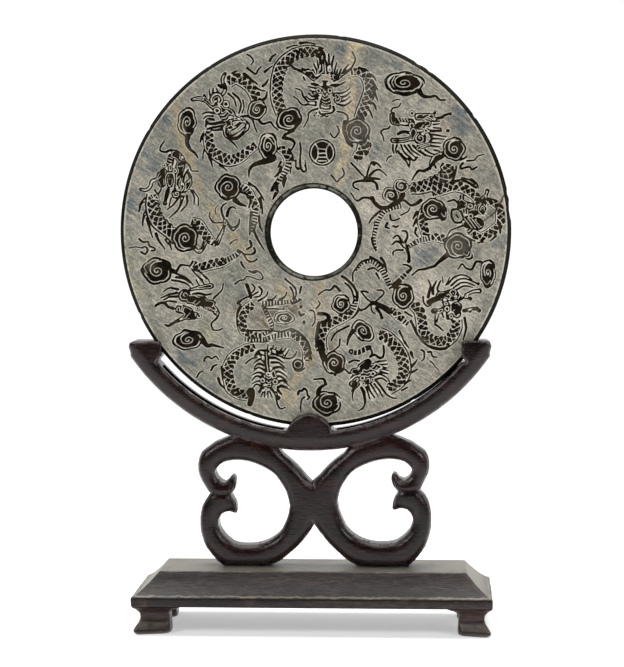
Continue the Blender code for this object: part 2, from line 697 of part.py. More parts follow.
def build_scroll_cradle(group, cutters, wood):
    """The cradle and its two scrolls, carved in one."""
    upright = Matrix.Rotation(math.pi / 2, 4, "X")
    stand_place = Matrix.Translation((SCROLL_SHIFT, 0, SCROLL_BOTTOM)) @ upright
    cradle_place = Matrix.Translation((CRADLE_SHIFT, 0, CRADLE_HEIGHT)) @ upright
    disc_place = Matrix.Translation((0, 0, DISC_HEIGHT)) @ upright

    scrolls = outline_object("scroll pair", scroll_outlines(), SCROLL_DEPTH, cutters, stand_place)
    scrolls.hide_render = True
    scrolls.display_type = "WIRE"
    bevel(scrolls, SCROLL_ROUNDING, 1)
    creases = [("contact crease", -1, [(0, height) for height in SCROLL_CONTACT]),
               ("left pinch crease", -1, SCROLL_PINCH), ("right pinch crease", 1, SCROLL_PINCH)]
    for name, hand, ends in creases:
        start, end = [on_scroll(point, hand) for point in ends]
        tool = add_cutter(name, crease_mesh(name, start, end, CREASE_DEPTH), cutters, stand_place)
        boolean(scrolls, tool, "DIFFERENCE")

    cradle = outline_object("scroll_cradle", [cradle_outline()], CRADLE_DEPTH, group, cradle_place)
    cradle.data.materials.append(wood)
    bevel(cradle, CRADLE_ROUNDING, 1)
    slot_radius = DISC_RADIUS + SEAT_GAP
    slot_half = DISC_THICKNESS / 2 + SLOT_SIDE_PLAY
    for name, side in (("right groove cutter", 1), ("left groove cutter", -1)):
        mesh = prisms(name, [groove_outline(side)], -slot_half, slot_half)
        boolean(cradle, add_cutter(name, mesh, cutters, cradle_place), "DIFFERENCE")
    boolean(cradle, scrolls, "UNION")

    profile = [(0, slot_half), (slot_radius, slot_half), (slot_radius, -slot_half), (0, -slot_half)]
    slot = turned("slot cutter", profile, DISC_SEGMENTS, cutters, disc_place)
    boolean(cradle, slot, "DIFFERENCE")


def loft(name, rings):
    """A closed loft through level outlines, each a height and its corners in order."""
    mesh_data = bmesh.new()
    loops = []
    for height, corners in rings:
        loops.append([mesh_data.verts.new((x, y, height)) for x, y in corners])
    for below, above in zip(loops, loops[1:]):
        for index in range(len(below)):
            other = (index + 1) % len(below)
            mesh_data.faces.new((below[index], below[other], above[other], above[index]))
    mesh_data.faces.new(loops[0][::-1])
    mesh_data.faces.new(loops[-1])
    bmesh.ops.recalc_face_normals(mesh_data, faces=mesh_data.faces)
    mesh = bpy.data.meshes.new(name)
    mesh_data.to_mesh(mesh)
    mesh_data.free()
    return mesh


def build_slab(group, wood):
    """The slab, with a straight fascia and a hollow bevel up to its top."""
    levels = [(SLAB_ARRIS, 0), (0, SLAB_ARRIS), (0, SLAB_FASCIA - SLAB_ARRIS), (SLAB_ARRIS, SLAB_FASCIA)]
    for index in range(1, SLAB_BEVEL_STEPS + 1):
        share = index / SLAB_BEVEL_STEPS
        inset = SLAB_ARRIS + (SLAB_BEVEL_INSET - SLAB_ARRIS) * share
        levels.append((inset, SLAB_FASCIA + SLAB_BEVEL_HEIGHT * share ** SLAB_BEVEL_HOLLOW))
    rings = []
    for inset, height in levels:
        x, y = SLAB_WIDTH / 2 - inset, SLAB_DEPTH / 2 - inset
        rings.append((height, ((-x, -y), (x, -y), (x, y), (-x, y))))
    mesh = loft("base_slab", rings)
    mesh.materials.append(wood)
    add_object("base_slab", mesh, group, Matrix.Translation((SLAB_SHIFT, 0, FOOT_HEIGHT + SEAT_GAP)))


def foot_rings():
    """Level outlines of a foot, from its outer corner inwards: waisted, with the toe turned outwards."""
    rings = []
    for share, outer_share, inner_share in FOOT_PROFILE:
        outer = FOOT_WAIST * outer_share
        inner = FOOT_LENGTH + FOOT_WING * inner_share
        turn = FOOT_TOE_TURN * (1 - share)
        corners = ((outer, outer), (inner, outer + turn), (inner, inner), (outer + turn, inner))
        rings.append((FOOT_HEIGHT * share, corners))
    return rings


def build_feet(group, wood):
    """Four bracket feet, one under each corner of the slab."""
    for name, x_side, y_side in (("foot_front_left", -1, -1), ("foot_front_right", 1, -1),
                                 ("foot_back_left", -1, 1), ("foot_back_right", 1, 1)):
        rings = []
        for height, corners in foot_rings():
            rings.append((height, [(-x_side * x, -y_side * y) for x, y in corners]))
        mesh = loft(name, rings)
        mesh.materials.append(wood)
        corner = (SLAB_SHIFT + x_side * SLAB_WIDTH / 2, y_side * SLAB_DEPTH / 2, 0)
        foot = add_object(name, mesh, group, Matrix.Translation(corner))
        bevel(foot, FOOT_ROUNDING, 1, angle=60)


def main():
    """Build the whole object."""
    clear_scene()
    group = new_collection("stone bi disc")
    cutters = new_collection("cutters")
    stone = plain_material("grey green stone", (0.25, 0.24, 0.20), 0.55)
    wood = plain_material("dark hardwood", (0.035, 0.026, 0.024), 0.45)
    red_wood = plain_material("reddish hardwood", (0.055, 0.036, 0.033), 0.5)
    build_disc(group, cutters, stone)
    build_scroll_cradle(group, cutters, wood)
    build_slab(group, wood)
    build_feet(group, red_wood)


main()
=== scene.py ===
"""The look of a carved stone bi disc in its scrolled hardwood stand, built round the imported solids."""

import math
from collections import namedtuple

import bmesh
import bpy
import numpy as np
from mathutils import Matrix, Vector, noise
from mathutils.geometry import delaunay_2d_cdt


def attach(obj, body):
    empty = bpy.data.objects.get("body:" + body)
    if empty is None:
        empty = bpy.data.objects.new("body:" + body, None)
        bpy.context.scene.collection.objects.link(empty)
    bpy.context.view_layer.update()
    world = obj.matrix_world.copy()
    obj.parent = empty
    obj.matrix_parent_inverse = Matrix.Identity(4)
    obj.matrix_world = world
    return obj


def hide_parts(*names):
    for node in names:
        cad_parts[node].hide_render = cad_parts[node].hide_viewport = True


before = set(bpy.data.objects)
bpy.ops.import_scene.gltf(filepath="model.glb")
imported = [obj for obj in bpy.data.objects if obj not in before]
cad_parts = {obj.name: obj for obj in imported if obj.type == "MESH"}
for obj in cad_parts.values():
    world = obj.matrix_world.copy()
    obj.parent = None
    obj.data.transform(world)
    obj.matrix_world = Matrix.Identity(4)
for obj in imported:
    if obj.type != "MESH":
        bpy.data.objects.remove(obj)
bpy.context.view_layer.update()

MM = 0.001

# Camera
IMAGE_WIDTH, IMAGE_HEIGHT = 624, 667
CAMERA_PLACE = Vector((91.2, -1458.7, 336.25)) * MM
CAMERA_YAW, CAMERA_PITCH, CAMERA_ROLL = (math.radians(turn) for turn in (3.682, -4.284, -0.354))
FOCAL_PIXELS = 1902.943
SENSOR_WIDTH = 36

# Stone disc
DISC_RADIUS = 150 * MM
DISC_HALF = 6 * MM
DISC_HEIGHT = 305 * MM
FACE_RADIUS = 146.8 * MM
HOLE_MIDDLE = (-0.6 * MM, -0.45 * MM)
HOLE_RADIUS = 33.5 * MM
HOLE_MOUTH = 37 * MM
CARVING_DEPTH = 0.85 * MM
BACK_DEPTH = 0.6 * MM
ROUND_STEPS = 720

# The carver's drawing, in units of the sheet, which the camera sees as the face of the disc
SHEET_CORNER = np.array((118, 33))
SHEET_SIZE = 396
SHEET_PITCH = 0.33
SHEET_UNIT = 0.78 * MM
SHEET_MIDDLE = (315.9, 230.9)
SHEET_REACH = 190.2
SHEET_RIM = 195.6
SHEET_HOLE = (314.4, 230.9, 49.6)
CUT_START, CUT_FLOOR = 0.36, 0.64
CUT_GAIN, LINE_LOSS = 0.45, 0.12
BROAD = (2, 3, 4, 4, 4)
HAND_WOBBLE = 0.35
EDGE_SOFTNESS = 0.7
SCALE_PITCH, SCALE_LINE, SCALE_LINE_THINNING = 6.1, 0.52, 0.22
RIB_PITCH, RIB_LINE, RIBBED_BELOW = 3.1, 0.62, 4.2
SCALLOP_LENGTH, SCALLOP_DEPTH = 6.2, 1.5
BACK_LINE, BACK_LINE_PLACE = 0.5, 0.70
CLOUD_LINE, CLOUD_LINE_PLACE, CLOUD_OPENING, SPIRAL_TURNS = 0.5, 0.80, 60, 1.9
BACK_CLOUDS, BACK_CLOUD_RADIUS, BACK_BORDERS = 6, 122, (184, 58)

# Cradle and scrolls
CRADLE_RADIUS = 153 * MM
CRADLE_THICKNESS = 14.3 * MM
CRADLE_DEPTH = 28 * MM
CRADLE_MIDDLE = (-4.4 * MM, 304.2 * MM)
CRADLE_ROUNDING = 1.7 * MM
CRADLE_EDGE_FALL = 4.2 * MM
CRADLE_EDGE_REACH = 10 * MM
CRADLE_CROWN = 0.4 * MM
CRADLE_GRID = 0.6
CRADLE_ACROSS, CRADLE_UP = (-146, 138), (45, 226)
# Levels of the cradle's outline field that are kept as edges, in millimetres, and how far each may stray, in cells
CRADLE_LEVELS = [(0.0, 0.05), (0.15, 0.05), (0.5, 0.06), (1.0, 0.08), (1.8, 0.12), (3.2, 0.2)]
HORN_TOP = 82.5 * MM
HORN_END = 139.2 * MM
HORN_LIP_LEFT = 114.2 * MM
HORN_LIP_RIGHT = 116.6 * MM
HORN_LIP_HEIGHT = 11.5 * MM
HUMP_RADIUS = 18.4 * MM
HUMP_DROP = 4 * MM
HUMP_FOOT = 6 * MM
GROOVE_DEPTH = 2 * MM
SLOT_RADIUS = 150.3 * MM
SLOT_HALF = 6.4 * MM
SCROLL_DEPTH = 25 * MM
SCROLL_ROUNDING = 6.5 * MM
SCROLL_PLACE = (-1.9 * MM, 46.6 * MM)
SCROLL_RISE = 91.5
SCROLL_RIGHT_LIFT = 3
SCROLL_CROWN = 0.5 * MM
SCROLL_FULLNESS = 0.4 * MM
SCROLL_RIGHT_SPREAD = 2.6

# Slab and feet
SLAB_WIDTH = 275.5 * MM
SLAB_DEPTH = 91 * MM
SLAB_FASCIA = 7.7 * MM
SLAB_BEVEL_HEIGHT = 16.8 * MM
SLAB_BEVEL_INSET = 20 * MM
SLAB_SHIFT = -2.0 * MM
SLAB_BOTTOM = 21.8 * MM
SLAB_WEAR_SIZE = 18
FOOT_HEIGHT = 21.5 * MM
FOOT_LENGTH = 27 * MM
FRONT_LEFT_EXTRA = 2.6 * MM
FOOT_WING = 8 * MM
FOOT_WAIST = 6.6 * MM
FOOT_TOE_TURN = 6 * MM

# White table under the stand
TABLE_RADIUS = 1.3
TABLE_FADE = (1.15, 0.7)

# The left scroll, in millimetres from the scrolls' axis and their flat bottom
SCROLL_SIDE = [
    (-57, 103.5), (-68.5, 99.2), (-75.9, 96.1), (-82.6, 91.4), (-85.9, 88.8), (-87.9, 84.6), (-88.9, 79.9),
    (-89, 75.2), (-88.1, 70.6), (-85.9, 65.9), (-82.9, 61.2), (-79.6, 57), (-83.3, 51.9), (-85.8, 47.2),
    (-87.1, 42.5), (-87.8, 37.8), (-87.9, 33.1), (-87.7, 28.4), (-86.7, 23.7), (-85.3, 19), (-83.1, 14.3),
    (-79.6, 9.7), (-75.5, 5), (-69.6, 0),
]
SCROLL_INSIDE_LOW = [
    (-35.1, 0), (-24.9, 5.3), (-19.4, 10), (-13.6, 14.8), (-9.2, 19.5), (-5.5, 24.2), (-2.1, 28.9), (0.5, 33.6),
]
SCROLL_INSIDE_HIGH = [
    (0.5, 63.3), (-4.6, 68), (-8.5, 72.7), (-12.6, 77.4), (-17.7, 82.1), (-23.6, 86.8), (-29, 94), (-46, 99),
]
SCROLL_VOID = [
    (-60.2, 83.1), (-51, 82.2), (-43.6, 80), (-34.2, 75.4), (-28.6, 70.8), (-25.3, 66.1), (-22.4, 61.5),
    (-20.2, 56.8), (-19.1, 52.1), (-18.2, 47.9), (-18.8, 42.8), (-20, 38.1), (-23.4, 30.1), (-26.7, 25.3),
    (-33, 20.5), (-41, 17), (-51.1, 15.7), (-61, 16.8), (-66.6, 20.4), (-71, 25.1), (-73.5, 29.8), (-74.1, 34.6),
    (-73, 38.6), (-69.4, 42.2), (-65, 42.8), (-60.2, 41.6), (-59.8, 45), (-61, 50), (-64, 55.4), (-61.4, 60),
    (-60.4, 66), (-61.4, 69.6), (-63.4, 70), (-66.4, 66.2), (-70, 64.9), (-74.4, 68), (-76.4, 73), (-74.6, 77.3),
    (-69, 81.6),
]
# Creases in the scrolls: two ends, depth and reach
SCROLL_CREASES = [((-85, 57), (-62, 56), 1.6, 1.3), ((0, 30), (0, 64), 2.2, 4.5)]

# A foot from the floor up: share of its height, outer side and inner side
FOOT_PROFILE = [
    (0, 0.5, -0.05), (0.06, 0.2, 0), (0.16, 0.18, 0), (0.30, 0.5, -0.03), (0.44, 0.85, -0.06),
    (0.58, 1, -0.08), (0.74, 0.95, -0.1), (0.88, 0.6, 0.3), (1, 0.1, 1),
]

# Dragon bodies: widths at start, middle and end, the side of the scalloped belly, and the middle line
BODIES = [
    (11, 14, 12, 1, 322, 53, 315, 51, 305, 51, 295, 54, 286, 60, 280, 68, 277, 78, 276, 88, 276, 97, 278, 105,
        281, 113),
    (8, 13, 12, 1, 352, 73, 360, 73, 367, 80, 369, 90, 366, 100, 362, 110, 359, 118),
    (14, 14, 9, 1, 361, 136, 364, 144, 361, 152, 355, 158),
    (11, 12, 11, 1, 229, 83, 235, 79, 243, 82, 250, 88, 254, 95, 256, 101),
    (10, 13, 8, 1, 208, 132, 208, 142, 212, 152, 221, 158, 230, 161, 240, 158, 249, 151, 257, 145),
    (9, 8, 3, 1, 279, 148, 285, 154, 288, 161, 286, 169, 281, 177, 276, 185, 272, 191),
    (14, 16, 13, 1, 153, 195, 152, 205, 154, 214, 158, 222, 165, 228, 172, 234, 177, 240),
    (10, 11, 7, -1, 192, 222, 199, 224, 205, 233, 212, 241, 217, 244),
    (8, 9, 4, -1, 240, 185, 247, 189, 252, 197, 256, 205, 256, 215, 254, 225, 253, 232),
    (8, 11, 4, 1, 191, 264, 200, 268, 212, 265, 225, 262, 235, 256, 240, 251),
    (9, 10, 8, 1, 252, 304, 245, 310, 241, 320, 243, 330, 250, 336, 260, 337),
    (4, 5, 4, -1, 263, 306, 268, 316, 272, 328, 264, 334),
    (6, 5, 2, 1, 263, 304, 275, 303, 287, 302, 300, 299),
    (3, 8, 10, 1, 245, 340, 262, 340, 275, 337, 290, 335, 300, 341, 306, 350, 307, 360),
    (9, 12, 11, 1, 254, 346, 245, 349, 236, 354, 230, 361, 227, 370, 228, 380, 231, 389, 238, 394, 247, 396),
    (17, 16, 12, -1, 449, 165, 447, 175, 440, 181, 430, 185, 420, 188, 411, 189),
    (9, 11, 9, 1, 433, 194, 445, 190, 455, 187, 465, 190, 474, 196, 479, 203),
    (9, 10, 8, 1, 485, 203, 492, 203, 499, 209, 500, 218, 498, 225, 490, 232, 481, 236, 474, 233, 468, 227),
    (10, 11, 8, 1, 424, 210, 422, 220, 424, 230, 425, 236),
    (9, 8, 4, -1, 445, 240, 435, 238, 425, 240, 415, 243, 408, 247),
    (7, 6, 2.5, 1, 400, 205, 390, 208, 383, 212, 378, 220, 375, 230, 374, 240, 376, 250),
    (11, 12, 11, 1, 413, 305, 419, 312, 421, 322, 422, 330, 427, 338, 436, 342, 446, 342, 453, 336, 457, 328,
        457, 320),
    (8, 7, 3, 1, 392, 287, 388, 280, 384, 272, 379, 265, 371, 261, 362, 263, 356, 270),
    (8, 9, 6, 1, 390, 310, 397, 316, 404, 322, 408, 325),
    (12, 14, 11, -1, 380, 333, 388, 337, 396, 345, 402, 355, 405, 366, 404, 376, 398, 384, 389, 390),
    (7, 10, 12, -1, 357, 297, 355, 306, 349, 315, 340, 320, 330, 325, 323, 333, 321, 342, 322, 350),
]

# Clouds: middle, half width, half height, turn in degrees, and hand
CLOUDS = [
    (289, 119, 13.5, 11, -28, 1), (257, 109.5, 9.5, 10.5, 30, -1), (268, 146, 9.5, 14, 5, -1),
    (187, 122, 9.5, 15, 5, 1), (228, 187, 13, 13, 40, 1), (185, 238, 13, 14, 0, 1),
    (157, 271, 15, 13.5, 0, -1), (188, 340, 15.5, 10, -8, -1), (284, 318, 10.5, 6.5, 0, 1),
    (341, 304, 9.5, 10, 20, -1), (334, 363, 11.5, 11.5, 30, 1), (327, 403, 14.5, 12, 0, -1),
    (363, 331, 13, 9, 45, 1), (403, 296, 11, 13, 0, -1), (488, 273, 8, 14, 0, -1), (458, 246, 14, 13, 0, 1),
    (433, 209, 12, 11, 0, 1), (391, 195, 9, 8, 20, 1), (401, 186, 8, 7, 20, -1), (454, 149, 11.5, 12, 0, -1),
    (404, 83, 20, 11.5, 0, -1), (357, 131, 13, 13, 0, 1),
]

Mark = namedtuple("Mark", "kind start end places")


def pairs(places):
    """Points from x, y, x, y and so on."""
    return np.reshape(places, (-1, 2)).astype(float)


def cut(start, end, *places):
    """A dark stroke with its start and end widths."""
    return Mark("cut", start, end, pairs(places))


def cuts(start, end, *lines):
    """Dark strokes of the same widths."""
    return [cut(start, end, *line) for line in lines]


def left(width, *places):
    """A light line left standing inside a dark area."""
    return Mark("left", width, width, pairs(places))


def lefts(width, *lines):
    """Light lines of the same width."""
    return [left(width, *line) for line in lines]


def comb(count, start, end, first, last):
    """A row of dark strokes that go over from the first one's line to the last one's."""
    first, last = pairs(first), pairs(last)
    strays = np.random.default_rng(count).uniform(-0.9, 0.9, (count, *first.shape))
    return [Mark("cut", start, end, first + (last - first) * share + stray)
            for share, stray in zip(np.linspace(0, 1, count), strays)]


def pit(radius, *places):
    """Dark round spots."""
    return Mark("pit", radius, 0, pairs(places))


def knob(radius, *places):
    """Light round spots."""
    return Mark("knob", radius, 0, pairs(places))


def eye(x, y, size=1.0):
    """An eye: a dark ring, a light ring and a dark pupil."""
    return [pit(4.4 * size, x, y), knob(3.3 * size, x, y), pit(1.9 * size, x, y)]


# Strokes that trail from the clouds
TAILS = [
    *cuts(5, 1.2, [298, 120, 296, 126, 293, 131], [188, 136, 187, 143, 190, 149, 195, 153, 198, 158],
        [235, 200, 240, 204, 246, 206], [202, 340, 207, 346, 212, 345, 217, 346, 224, 348]),
    cut(3, 2.4, 293, 131, 286, 134, 283, 138),
    *cuts(3.4, 1.2, [283, 138, 290, 139, 295, 143, 291, 150], [421, 200, 416, 204, 410, 205, 404, 200, 397, 204]),
    *cuts(2.4, 1.2, [259, 120, 263, 124, 270, 122, 274, 127, 278, 130],
        [340, 291, 335, 286, 330, 290, 325, 290, 318, 295]),
    cut(7, 1.2, 273, 158, 267, 161, 258, 163, 252, 166, 249, 171, 249, 177),
    *cuts(4, 1.2, [164, 262, 170, 269, 176, 271, 179, 267, 182, 265, 190, 266], [353, 331, 349, 337, 347, 345]),
    cut(4.5, 2, 318, 394, 320, 388, 326, 384),
    *cuts(3, 1.2, [326, 384, 323, 379, 314, 379], [408, 272, 411, 268, 407, 265, 403, 265],
        [435, 266, 425, 269, 418, 270, 412, 275], [388, 207, 378, 207, 371, 199, 363, 198, 357, 201, 351, 193],
        [430, 168, 424, 171, 418, 171, 412, 180]),
    cut(6, 3, 395, 286, 401, 279, 408, 272),
    *cuts(2.6, 1.2, [481, 262, 476, 262, 472, 269, 466, 268, 462, 264, 458, 269],
        [430, 97, 436, 96, 440, 100, 446, 100]),
    cut(5, 2.4, 447, 255, 441, 260, 435, 266), cut(5, 3, 403, 195, 398, 202, 388, 207),
    cut(4, 2.4, 442, 157, 435, 161, 430, 168), cut(5, 2, 419, 91, 423, 96, 430, 97),
    cut(4, 3, 345, 122, 344, 130, 347, 140, 352, 146),
]

# Heads, each with its horns, mane and beard
TOP_HEAD = [
    cut(3, 2.4, 320, 48, 324, 54, 324.5, 60),
    *cuts(2, 2, [319.5, 54, 320.5, 64, 321.5, 75], [326, 61.5, 327, 68, 327.6, 74]),
    cut(2.6, 2.6, 322.6, 61, 323.2, 68, 323.8, 73.6), cut(1.6, 1.6, 328.6, 54, 329, 62, 329.6, 72),
    cut(1.4, 3, 333.6, 56, 332, 63, 331.4, 70, 332, 78), cut(1, 1.6, 337, 62, 335, 69, 334, 77),
    *cuts(1, 1.8, [317, 60, 318.6, 68, 319.6, 76], [352, 52, 355, 58, 354, 64, 350, 69],
        [337.4, 69.6, 336.4, 74, 335, 78.6]),
    *cuts(1.4, 2.4, [313.6, 64, 316.6, 70, 318.4, 77], [348, 65, 345, 69, 342.6, 74]),
    cut(1.6, 2.4, 312.6, 69.6, 314.6, 75, 316.6, 79),
    cut(1.8, 4, 289.5, 62.6, 294, 68, 300, 70.6, 306, 73.4, 311, 77.6, 315.4, 80.4),
    cut(1, 2.2, 302, 68.4, 307, 70.2, 311.4, 74),
    *cuts(1.4, 2.6, [307.6, 68.6, 311.6, 72, 314, 78], [341.4, 68.6, 339.6, 73, 338, 79]),
    cut(2, 4.4, 350, 69, 345, 73, 339, 77, 333, 80),
    *lefts(1, [321, 75, 325, 74.6, 331, 75.4], [319.6, 77.4, 325, 76.8, 331.4, 77.6],
        [315, 80.6, 320, 79, 326, 79, 333, 80.6]),
    *cuts(3, 3.4, [312, 83.4, 317, 85.4, 321, 86.4], [338, 84.6, 333, 85.6, 328.6, 86.4]),
    cut(5, 6, 325, 84, 325, 93), cut(1.6, 1.2, 322, 81.4, 328, 81.2),
    *lefts(1, [309.6, 82.4, 315, 82, 319.6, 81.2, 322.6, 83, 321.6, 85.6, 319.2, 84.6],
        [340, 83.2, 334, 82.4, 329.4, 81.2, 326.8, 83, 327.6, 85.6, 330, 84.8],
        [311, 86.6, 315.4, 87, 319.4, 86.6, 322.8, 88.6], [338, 88.4, 334, 87.4, 330.4, 86.8, 327, 88.6]),
    *eye(318.8, 90.6, 0.72), *eye(330, 90.6, 0.76), cut(3.4, 4, 313.4, 92.6, 316.6, 96),
    cut(4, 4.6, 334.4, 94.6, 340, 98.4), cut(8, 12, 325, 95, 325.4, 106),
    *lefts(1.1, [322.4, 92, 320.8, 97, 318.4, 101, 317.6, 105, 319.6, 108.8],
        [327, 93.4, 330.6, 98, 334, 101.6, 334.4, 105.6, 332, 109]),
    *lefts(1, [323, 94.4, 325, 96.2, 327.4, 94.2], [322.4, 97.2, 325, 99.2, 328.6, 97.4],
        [322, 100.4, 325, 102.6, 330, 100.8], [322.4, 104, 326.6, 105.4, 331.4, 103.4]),
    left(1.2, 316.6, 110, 321, 109.4, 326, 110.4, 333.4, 109.8),
    cut(1.4, 1.6, 319.6, 111.6, 321, 114, 327, 113.8, 332, 112.4, 335, 110),
    pit(1, 314.6, 115.4, 316.6, 112.8, 318.8, 115.8), cut(1.1, 0.9, 321, 116.8, 324, 115.6, 326.6, 117, 328, 115.8),
    *cuts(1, 1.8, [345.6, 81.6, 341, 84.4, 335.6, 86.6], [350, 87.6, 346, 91.4, 341, 93, 336.6, 93],
        [350.6, 92, 345.6, 95.8, 341, 97]),
    *cuts(1, 2.4, [349.8, 97, 345, 100.4, 339, 101.4, 334.6, 99.4],
        [351.4, 101, 347, 104.2, 343, 105.4, 338, 104, 335, 101.4],
        [295.4, 88.4, 301, 90.6, 302.6, 94.6, 306, 99.8, 310, 102.4, 316, 102.4],
        [293, 96.4, 297, 99, 300, 102.6, 304, 105.2, 309, 104.4, 315.6, 105.2]),
    *cuts(0.9, 1.8, [306, 96.4, 311, 99.6, 317.6, 98.6], [308, 93, 313, 96.6, 318.6, 95.4],
        [310.4, 90.4, 313, 92, 316, 92], [308.4, 86.4, 312, 87.6, 316, 88.4]),
    cut(1.4, 0.8, 303.6, 77, 305, 80.4),
    cut(1.8, 1, 317.6, 108.8, 312, 110.4, 308.6, 113.4, 308.2, 118, 306.4, 122.4, 303.4, 127.4),
    cut(2.4, 2.2, 333.6, 107, 334.2, 110.4), cut(1, 2, 337, 111.6, 343, 112.6, 347, 115.4, 348, 119.4, 345.4, 123.6),
]

UPPER_LEFT_HEAD = [
    cut(5, 4.4, 211, 106, 206, 101, 199, 98.5, 193, 99.5),
    *cuts(3.4, 2.4, [206, 100, 204, 95.5], [222, 87, 218.5, 85]),
    cut(4, 3.6, 222, 95, 225.4, 89, 222.6, 82, 223, 77, 225, 74), pit(7.6, 216.5, 99.5), knob(6, 216.5, 99.5),
    pit(4.8, 216.7, 99.5), cut(8, 9, 215, 107, 228, 112), cut(6, 8, 218, 108, 229, 125), *eye(226, 104, 1),
    *eye(217, 110.6, 0.9), cut(3, 3, 229, 112, 236, 117, 240, 119),
    *lefts(1.1, [220, 115, 224, 115, 227, 112], [221.5, 118, 225.5, 117.5, 228.5, 114.5],
        [223, 121, 227, 120, 230, 117], [225, 123.6, 229, 122.6, 231.5, 119]),
    cut(3.2, 3.2, 226, 127, 231, 121, 239, 119, 246, 122, 248.5, 127, 244, 132, 237, 138, 231, 138, 227, 134,
        226, 129),
    cut(8, 8, 232, 132, 242, 125), left(3.4, 232.5, 132.5, 238, 129.5, 243, 125),
    cut(2, 1.6, 233, 93, 238.5, 98, 241, 105, 239, 113), cut(1.8, 1.2, 228, 93.5, 234, 99, 236, 106),
    cut(1.6, 1.2, 231, 109, 234, 112, 235, 115), *cuts(1.4, 0.9, [243, 100, 244, 107, 242, 113], [210, 95, 209, 89]),
    cut(1.6, 0.9, 213, 93, 213, 88), cut(1.8, 0.9, 218, 93, 216, 88),
    *cuts(2, 1, [214, 113, 208, 112, 202, 114], [213, 116, 207, 116, 203, 119]),
    cut(3.6, 2.4, 213, 120, 207, 120, 206, 126), cut(3, 2, 222, 122, 212, 124, 206, 123),
    cut(2.6, 1.6, 223, 126, 214, 127, 207, 129), cut(2.2, 1.4, 223, 129, 217, 130, 211, 130),
    *lefts(1, [222, 124, 213, 125.6, 207, 126], [221, 119.6, 213, 121.6, 207, 120]),
    cut(2.6, 1, 241, 117, 247, 116, 252, 119, 254, 125, 257, 132),
    cut(2.4, 1, 224, 131, 225, 136, 231, 141, 235, 145, 238, 149),
]

UPPER_RIGHT_HEAD = [
    pit(2.2, 393, 114), cut(5, 7, 392, 115, 393, 121, 398, 122.5), cut(7, 8, 396, 121, 404, 122, 411, 122.5),
    *lefts(1, [396.5, 115.5, 399.5, 121], [399.5, 115.5, 402.5, 121.5], [402.5, 116, 405.5, 121.5],
        [405.5, 116.5, 408.5, 122]),
    *eye(412, 113.3, 0.75), *eye(412, 125.3, 0.8), cut(7.5, 7.5, 418, 116.6, 431, 116.8),
    cut(3, 2.4, 432, 116, 435, 112.5), cut(3, 2.2, 430, 118.4, 440, 118, 446, 114.5, 450.5, 113.8),
    pit(1.8, 450.5, 114), cut(7.5, 8, 419.5, 126, 428, 124.5),
    *lefts(1, [414.5, 120.5, 419, 121.6, 423, 121.4], [426, 118.4, 431, 120, 432.4, 124, 430, 127.6, 426.5, 127.2]),
    cut(3, 2, 425, 130, 434, 131, 441, 130.4), pit(1.9, 448, 130.6),
    *cuts(1.5, 0.9, [432, 121, 440, 121.4], [433.5, 124.4, 439, 124], [434, 127.6, 441, 128]),
    cut(2.8, 3, 398, 134, 404, 131.6, 411, 133), cut(6, 7, 413, 130, 414.5, 134, 412, 138),
    cut(5.4, 4.6, 393, 140.4, 400, 140.6, 408, 139.4, 414, 137.6), pit(6.6, 420, 138),
    left(1, 420.4, 138.4, 418.6, 138, 419.6, 135.8, 422.6, 136.4, 423.4, 139.6, 420.6, 142, 416.8, 140.6, 416, 136.8,
        418.6, 133.6),
    cut(2.4, 2, 424, 131.5, 430, 134.5, 431.4, 139.5, 428, 144), left(1, 427.4, 133.6, 429.4, 138, 427, 142.6),
    cut(5.4, 4.4, 419, 147, 429, 144.6), left(1, 399, 143.4, 410, 143, 418, 144.4, 424, 143),
    *cuts(2, 1, [401, 145, 404, 152, 411, 158], [404.5, 145, 409, 151.5, 415.5, 157],
        [408.5, 145, 413, 151, 420.5, 156], [413, 145.5, 418, 150.5, 425, 155.5], [417, 148.5, 424, 154, 433, 157.5],
        [425, 150, 431, 153.5, 439, 156], [397, 145, 395.4, 150, 396.6, 153.5], [393, 145, 392.6, 150, 394, 153.6]),
    *cuts(1.8, 1, [398, 151, 401, 156, 406, 161, 409, 167], [401, 154, 405.5, 158, 409.6, 161, 409.4, 167],
        [432, 134.6, 446, 136.4], [433, 138.4, 444, 139], [432, 142.4, 441, 143.4], [431, 146, 440, 147],
        [434, 150, 439, 151]),
    cut(1.4, 1, 392, 156, 388, 157.5, 386.4, 161), cut(2, 1.8, 409, 158, 414, 160.4, 417, 157.4),
    *cuts(1.6, 1, [391, 111, 393, 108, 398, 107, 401, 103.5],
        [390, 126, 388, 128.4, 383, 129.4, 381, 132.4, 383, 136, 384, 141]),
    cut(1, 1, 392, 101.4, 396, 99.6, 400, 99.8), cut(3.4, 2, 441, 153, 434, 157, 430, 163, 430.4, 169),
    cut(2.4, 1.4, 437, 158, 434, 163, 436, 168), cut(2, 1.4, 453.5, 170, 453.5, 181),
]

